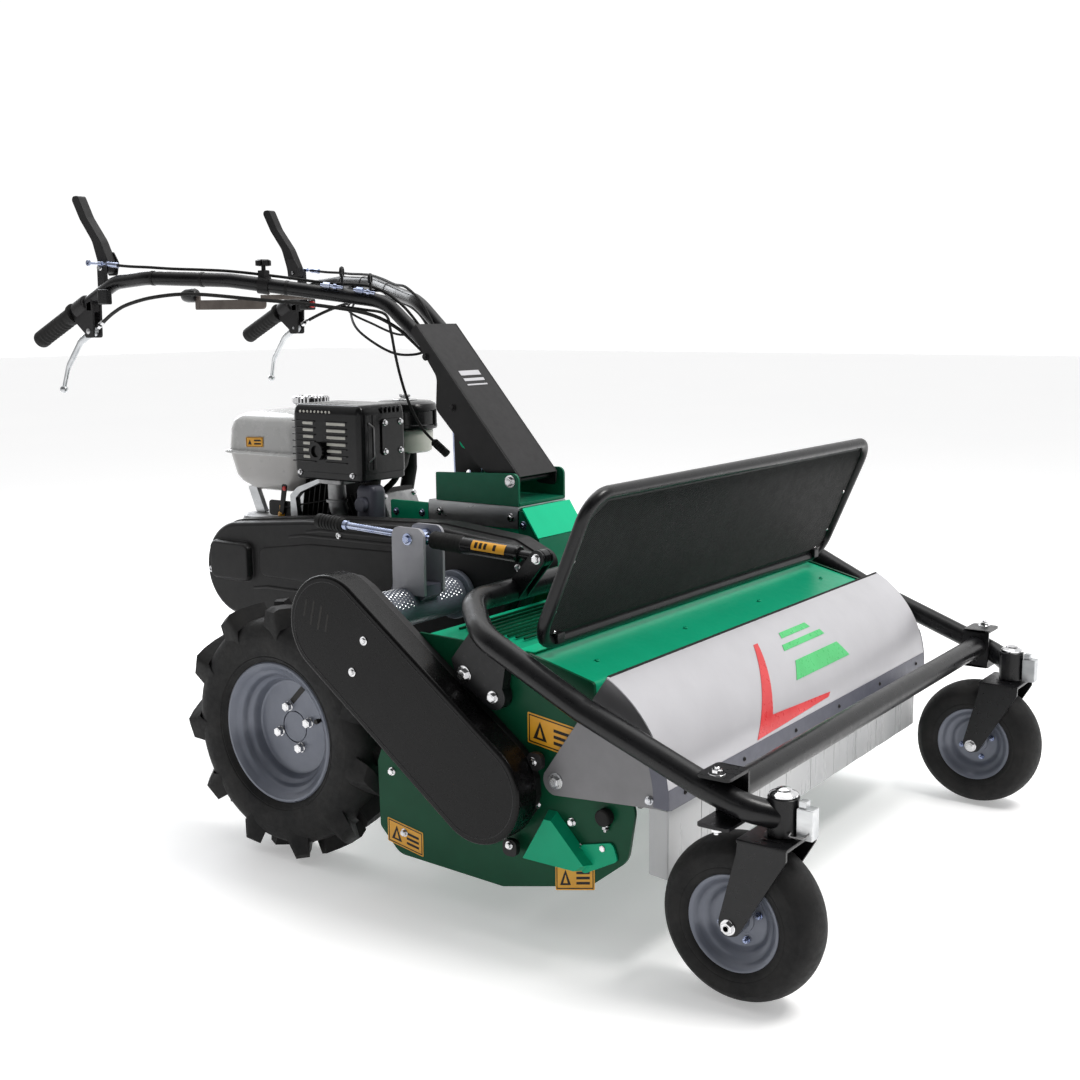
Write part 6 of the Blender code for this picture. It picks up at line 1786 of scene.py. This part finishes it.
def ring_round(centre, along, radius, thick, wide):
    """A collar round a bar; wide is half of its width."""
    return turned([(radius, -wide), (radius + thick, -wide), (radius + thick, wide), (radius, wide)],
                  centre, along, 32, closed=True)


def handlebars():
    """Each bar with its ties, lever housing, pivots and grip."""
    shapes = [pipe(BAR, 0.0145, 28)]
    x, y, z = PADDLE
    shapes.append(plate([rounded([(x + 0.012, z - 0.060), (x - 0.012, z - 0.064), (x - 0.010, z + 0.008),
                                  (x + 0.010, z + 0.008)], [0.001, 0.001, 0.008, 0.008], 6)], y - 0.015,
                                  y - 0.0045, bevel=0.0010))
    make_pair("handlebar_tube", "handle", "black", shapes, ("handlebar_%s",), angle=40)
    hubs = []
    for at in (-0.300, -0.455, -0.560):
        centre, along = on_bar(at)
        hubs.append(ring_round(centre, along, 0.0146, 0.0008, 0.0030))
    make_pair("cable_ties", "handle", "plastic", hubs)

    # lever housing clamped round the bar
    x, y, z = CLUTCH
    cheek = rounded([(x + 0.014, z - 0.014), (x + 0.018, z + 0.066), (x - 0.052, z + 0.042),
                     (x - 0.048, z + 0.022), (x - 0.014, z - 0.004), (x - 0.012, z - 0.014)],
                     [0.006, 0.008, 0.008, 0.006, 0.006, 0.006], 6)
    housing = []
    for s in SIDES:
        housing.append(plate([cheek, circle((x, z), 0.0042, 16)], y + s * 0.0075, y + s * 0.0125,
                             bevel=0.0012))
    centre, along = on_bar(-0.775)
    housing.append(turned([(0.0146, -0.020), (0.0190, -0.019), (0.0205, -0.016), (0.0205, 0.016),
                           (0.0190, 0.019), (0.0146, 0.020)], centre, along, 32, closed=True))
    housing.append(box((x - 0.006, y - 0.0125, z + 0.040), (x + 0.016, y + 0.0125, z + 0.070), bevel=0.004,
                       segments=3))
    make_pair("lever_housing", "handle", "satin", housing, angle=32)
    dots = [turned([(0, 0), (0.0065, 0), (0.0060, 0.0018), (0, 0.0024)], CLUTCH + Vector((0, -0.0125, 0)),
                   (0, -1, 0),
                   24), rod(CLUTCH + Vector((0, -0.012, 0)), CLUTCH + Vector((0, 0.012, 0)), 0.0040, 16),
            bolt(Vector((PADDLE.x, PADDLE.y - 0.0150, PADDLE.z)), (0, -1, 0), 0.0085, 0.0038),
            rod(PADDLE + Vector((0, -0.006, 0)), PADDLE + Vector((0, 0.0235, 0)), 0.0035, 16)]
    make_pair("lever_pivots", "handle", "chrome", dots, angle=30)

    # grips with finger ridges and a collar
    end = Vector(BAR_ROUTE[-1])
    aim = (Vector(BAR_ROUTE[-2]) - end).normalized()
    down = (-UP + aim * UP.dot(aim)).normalized()
    across = aim.cross(down)
    stations = [(0.0130, -0.0140, 0), (0.0180, -0.0130, 0), (0.0193, -0.0100, 0), (0.0195, 0.0, 0)]
    for k in range(9):
        at = 0.0040 + 0.0112 * k
        stations += [(0.0195, at, 0.2), (0.0195, at + 0.0030, 1.0), (0.0195, at + 0.0062, 1.0),
                     (0.0195, at + 0.0092, 0.1)]
    stations += [(0.0193, 0.1120, 0), (0.0190, 0.1180, 0), (0.0235, 0.1192, 0), (0.0235, 0.1240, 0),
                 (0.0200, 0.1250, 0)]
    rings = []
    for radius, at, notch in stations:
        ring = []
        for k in range(40):
            turn = 2 * math.pi * k / 40
            reach = radius - 0.0030 * notch * max(0.0, math.cos(turn)) ** 0.7
            ring.append(end + aim * at + (down * math.cos(turn) + across * math.sin(turn)) * reach)
        rings.append(ring)
    make_pair("grip_sleeve", "handle", "rubber", [capped(rings)], ("grip_%s",), angle=50)


def levers():
    """Clutch levers, paddle levers, and the gear lever on its bridge plate."""
    route = bent([CLUTCH, (-0.790, -0.303, 0.935), (-0.835, -0.306, 0.880), (-0.850, -0.310, 0.832)], 0.05,
                 12)
    sizes = [0.0078 - 0.0030 * i / (len(route) - 1) for i in range(len(route))]
    blade = [pipe(route, sizes, 18),
             turned([(0.0045, -0.0060), (0.0105, -0.0060), (0.0110, -0.0055), (0.0110, 0.0055),
                     (0.0105, 0.0060), (0.0045, 0.0060)], CLUTCH, "y", 32, closed=True)]
    tip = Vector((-0.8505, -0.310, 0.8310))
    along = (Vector(route[-1]) - Vector(route[-2])).normalized()
    ball = [(0, -0.0085)] + [(0.0088 * math.cos(math.radians(t)), 0.0088 * math.sin(math.radians(t)))
                             for t in range(-75, 76, 15)] + [(0, 0.0088)]
    blade.append(turned(ball, tip, along, 28))
    make_pair("clutch_blade", "clutch_%s", "sheet", blade, ("clutch_lever_%s",), angle=40)

    x, y, z = PADDLE
    paddle = rounded([(-0.730, 1.080), (-0.702, 1.080), (-0.700, 1.104), (-0.724, 1.150), (-0.766, 1.200),
                      (-0.792, 1.2475), (-0.817, 1.2455), (-0.789, 1.196), (-0.752, 1.150), (-0.738, 1.110)],
                     [0.010, 0.010, 0.014, 0.06, 0.06, 0.010, 0.010, 0.05, 0.05, 0.02], 8)
    body = [plate([paddle, circle((x, z), 0.0046, 20)], y - 0.0025, y + 0.0175, bevel=0.0060, segments=5)]
    make_pair("paddle_blade", "paddle_%s", "plastic", body, ("paddle_lever_%s",), angle=50)
    arms = [plate([rounded([(-0.730, 1.076), (-0.700, 1.076), (-0.693, 1.104), (-0.708, 1.126),
                            (-0.735, 1.126)],
                           0.006, 4), circle((x, z), 0.0046, 20)], y + 0.0176, y + 0.0200, bevel=0.0006)]
    make_pair("paddle_bracket", "paddle_%s", "satin", arms)

    x, y, z = SHIFT
    arm = [box((x - 0.145, y - 0.0035, z - 0.0070), (x + 0.002, y + 0.0035, z + 0.0040), bevel=0.0012),
           plate([rounded([(x - 0.360, z - 0.0270), (x - 0.132, z - 0.0270), (x - 0.132, z - 0.0055),
                           (x - 0.360, z - 0.0055)], [0.004, 0.010, 0.004, 0.004], 5)], y - 0.0025,
                           y + 0.0025, bevel=0.0008),
           box((x - 0.360, y - 0.0030, z - 0.0260), (x - 0.346, y + 0.0030, z + 0.0120), bevel=0.0010),
           turned([(0.0046, z - 0.0078), (0.0075, z - 0.0078), (0.0080, z - 0.0070), (0.0080, z + 0.0055),
                   (0.0046, z + 0.0058)], (x, y, 0), "z", 28, closed=True)]
    make("shift_arm", "gear_lever", "shift", arm, ("shift_lever",), angle=30)
    knob = [(0, 0), (0.0080, 0.0004), (0.0135, 0.0040), (0.0165, 0.0120), (0.0165, 0.0300), (0.0145, 0.0400),
            (0.0090, 0.0462), (0, 0.0470)]
    make("shift_knob", "gear_lever", "gloss", [turned(knob, (x - 0.355, y, z + 0.006), (-1, 0, 0), 40)],
         angle=60)
    bridge = [plate([rounded([(x - 0.020, -0.186), (x + 0.020, -0.160), (x + 0.020, 0.160),
                              (x - 0.020, 0.186)], 0.004, 4)], z + 0.0100, z + 0.0150, "xy", bevel=0.0010)]
    make("bridge_plate", "handle", "black", bridge)
    make("bridge_pin", "handle", "chrome", [rod((x, y, z - 0.010), (x, y, z + 0.012), 0.0035, 18),
                                            bolt((x, y, z + 0.0150), "z", 0.0085, 0.0040)], angle=30)


def cables():
    """Cables, their ends and fittings, and the switches on the bars."""
    # sheathed clutch cables, hanging a little below the bars
    route = smooth([(-0.729, -0.302, 0.966), (-0.702, -0.306, 0.979), (-0.655, -0.314, 0.998),
                    (-0.600, -0.320, 1.014), (-0.520, -0.314, 1.028), (-0.440, -0.280, 1.033),
                    (-0.330, -0.208, 1.021), (-0.236, -0.146, 1.010), (-0.150, -0.082, 0.992),
                    (-0.100, -0.052, 0.965), (-0.065, -0.034, 0.932), (-0.025, -0.020, 0.890),
                    (0.040, -0.019, 0.832), (0.085, -0.018, 0.786), (0.112, -0.016, 0.740),
                    (0.120, -0.015, 0.720)], 5)
    make_pair("clutch_cable", "handle", "rubber", [pipe(route, 0.0038, 14)], ("cable_%s",), angle=60)
    aim = (route[1] - route[0]).normalized()
    barrel = [hexagon(route[0] + aim * at, aim, width, 0.010)
              for at, width in ((0.004, 0.0116), (0.020, 0.0100))]
    make_pair("clutch_cable_ends", "handle", "chrome", barrel, angle=30)
    # rod and barrel from each paddle, then its cable along the bar
    rods = [turned([(0.0030, -0.0022), (0.0062, -0.0022), (0.0066, 0), (0.0062, 0.0022), (0.0030, 0.0022)],
                   (-0.7470, -0.3035, 1.1030), "y", 28, closed=True),
            rod((-0.7420, -0.3035, 1.1026), (-0.7000, -0.3035, 1.1000), 0.0028, 14),
            rod((-0.7120, -0.3035, 1.1008), (-0.7000, -0.3030, 1.1000), 0.0046, 18),
            rod((-0.7000, -0.3030, 1.1000), (-0.6860, -0.3015, 1.0988), 0.0024, 14),
            hexagon((-0.6860, -0.3015, 1.0988), (0.97, 0.12, -0.10), 0.0110, 0.0060),
            rod((-0.6800, -0.3010, 1.0984), (-0.6560, -0.2970, 1.0955), 0.0056, 20)]
    make_pair("paddle_rod", "handle", "blue_zinc", rods, angle=35)
    upper = smooth([(-0.657, -0.2970, 1.0956), (-0.620, -0.2920, 1.0925), (-0.573, -0.2860, 1.0900),
                    (-0.520, -0.2640, 1.0860), (-0.455, -0.2370, 1.0830), (-0.400, -0.2080, 1.0790),
                    (-0.320, -0.1580, 1.0680), (-0.236, -0.1030, 1.0540), (-0.160, -0.0540, 1.0460),
                    (-0.100, -0.0340, 1.0120), (-0.050, -0.0210, 0.9550), (0.010, -0.0200, 0.8850)], 6)
    make_pair("paddle_cable", "handle", "rubber", [pipe(upper, 0.0030, 12)], angle=60)
    # barrel adjusters beside the bend of the right-hand bar
    joints = []
    for first, last in (((-0.232, -0.128, 1.0500), (-0.190, -0.106, 1.0440)),
                        ((-0.172, -0.094, 1.0400), (-0.132, -0.074, 1.0320))):
        aim = (Vector(last) - Vector(first)).normalized()
        joints.append(rod(first, last, 0.0034, 16))
        joints.append(hexagon(Vector(first) + aim * 0.006, aim, 0.0120, 0.0140))
        joints.append(turned([(0.0034, 0), (0.0058, 0), (0.0058, 0.0060), (0.0034, 0.0060)],
                             Vector(first) + aim * 0.028, aim, 20, closed=True))
    make("barrel_adjusters", "handle", "blue_zinc", joints, angle=30)
    # round cable guides on short stems
    guides = []
    for centre, stem in (((-0.200, -0.098, 1.0760), 0.034), ((-0.150, -0.068, 1.0620), 0.030)):
        spot = Vector(centre)
        guides.append(turned([(0.0070, -0.0030), (0.0105, -0.0030), (0.0115, 0), (0.0105, 0.0030),
                              (0.0070, 0.0030)], spot, (0.87, 0.49, 0), 32, closed=True))
        guides.append(rod(spot - UP * 0.0100, spot - UP * stem, 0.0030, 14))
    # star knob and clamp on the right-hand bar
    spot, along = on_bar(-0.339)
    guides.append(ring_round(spot, along, 0.0147, 0.0040, 0.0110))
    guides.append(box((spot.x - 0.010, spot.y - 0.008, spot.z + 0.014),
                      (spot.x + 0.010, spot.y + 0.008, spot.z + 0.030),
                      bevel=0.002))
    guides.append(rod(spot + UP * 0.028, spot + UP * 0.040, 0.0045, 16))
    guides.append(ribbed([(0.0100, 0.0, False), (0.0160, 0.0010, True), (0.0160, 0.0110, True),
                          (0.0110, 0.0135, False),
                          (0.0030, 0.0140, False)], spot + UP * 0.0380, "z", 6, 0.0042, 6))
    make("bar_fittings", "handle", "plastic", guides, angle=34)
    # loose cables from the bars to the column
    loops = []
    for points, size in (
            ([(-0.560, 0.283, 1.0560), (-0.500, 0.250, 1.0480), (-0.430, 0.180, 1.0200),
              (-0.375, 0.110, 0.9900),
              (-0.293, 0.050, 0.9520), (-0.201, 0.045, 0.9100), (-0.128, 0.045, 0.9060),
              (-0.060, 0.046, 0.9250), (-0.015, 0.050, 0.9000)], 0.0028),
            ([(-0.520, 0.260, 1.0560), (-0.440, 0.200, 1.0380), (-0.336, 0.060, 1.0000),
              (-0.250, 0.050, 0.9680),
              (-0.177, 0.040, 0.9480), (-0.120, 0.030, 0.9480), (-0.060, 0.028, 0.9400),
              (-0.010, 0.030, 0.8900)], 0.0025)):
        loops.append(pipe(smooth(points, 7), size, 12))
    make("loose_cables", "handle", "rubber", loops, angle=60)
    lead = smooth([(-0.205, -0.100, 1.0060), (-0.180, -0.060, 1.0000), (-0.155, -0.020, 0.9900),
                   (-0.142, -0.018, 0.9550),
                   (-0.132, -0.018, 0.9100), (-0.118, -0.018, 0.8600), (-0.098, -0.018, 0.8100),
                   (-0.066, -0.018, 0.7600), (-0.030, -0.016, 0.7280), (-0.006, -0.014, 0.7120)], 6)
    long_lead = make("engine_cable", None, "rubber", [pipe(lead, 0.0030, 12)], angle=60)
    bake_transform(long_lead)
    plug = [(0, 0), (0.0060, 0.0), (0.0070, 0.0020)]
    for k in range(5):
        at = 0.0030 + 0.0058 * k
        plug += [(0.0085, at), (0.0085, at + 0.0034), (0.0068, at + 0.0040), (0.0068, at + 0.0052)]
    plug += [(0.0085, 0.0330), (0.0085, 0.0420), (0, 0.0430)]
    aim = Vector((0.75, 0.05, -0.55)).normalized()
    make("engine_cable_plug", "turret", "rubber", [turned(plug, Vector((-0.034, -0.016, 0.7300)), aim, 28)],
         angle=40)
    # switches by the levers
    box_shape = [box((-0.694, -0.3260, 1.0140), (-0.660, -0.3130, 1.0460), bevel=0.003, segments=3)]
    make("stop_box", "handle", "gloss", box_shape)
    switch = [box((-0.712, 0.2800, 1.0020), (-0.684, 0.3120, 1.0300), bevel=0.004, segments=3)]
    make("switch_box", "handle", "gloss", switch)
    make("switch_button", "handle", "red",
         [turned([(0, 0), (0.0080, 0), (0.0080, 0.006), (0.0060, 0.0090), (0, 0.0095)],
                                                   (-0.684, 0.296, 1.0160), (1, 0, 0), 28)])


def underside():
    """The chassis and axle below the machine."""
    repaint("satin", "chassis_plate", "transaxle_housing")
    bolts = [bolt((x, s * 0.154, z), (0, s, 0), 0.0110, 0.0050, 0.0095) for s in SIDES
             for x, z in ((-0.46, 0.303), (-0.20, 0.303), (0.02, 0.303), (0.225, 0.340), (0.270, 0.360))]
    make("chassis_bolts", "machine", "chrome", bolts, angle=30)
    ribs = []
    for s in SIDES:
        for t in range(0, 360, 60):
            turn = math.radians(t)
            ribs.append(bolt((0.048 * math.cos(turn), s * 0.110, AXLE_Z + 0.048 * math.sin(turn)),
                             (0, s, 0), 0.010, 0.005))
    make("axle_bolts", "machine", "zinc", ribs, angle=30)


# ---------------------------------------------------------------- the whole machine
def build():
    """Make every piece, wheels first."""
    drive_wheels()
    casters()
    side_plates()
    deck_shell()
    bonnet()
    curtain()
    flap()
    side_case()
    engine_block()
    muffler()
    fuel_tank()
    air_cleaner()
    recoil()
    belt_cover()
    cross_tube()
    height_adjuster()
    lift_frame()
    console()
    turret()
    column()
    handlebars()
    levers()
    cables()
    underside()


camera()
studio()
build()
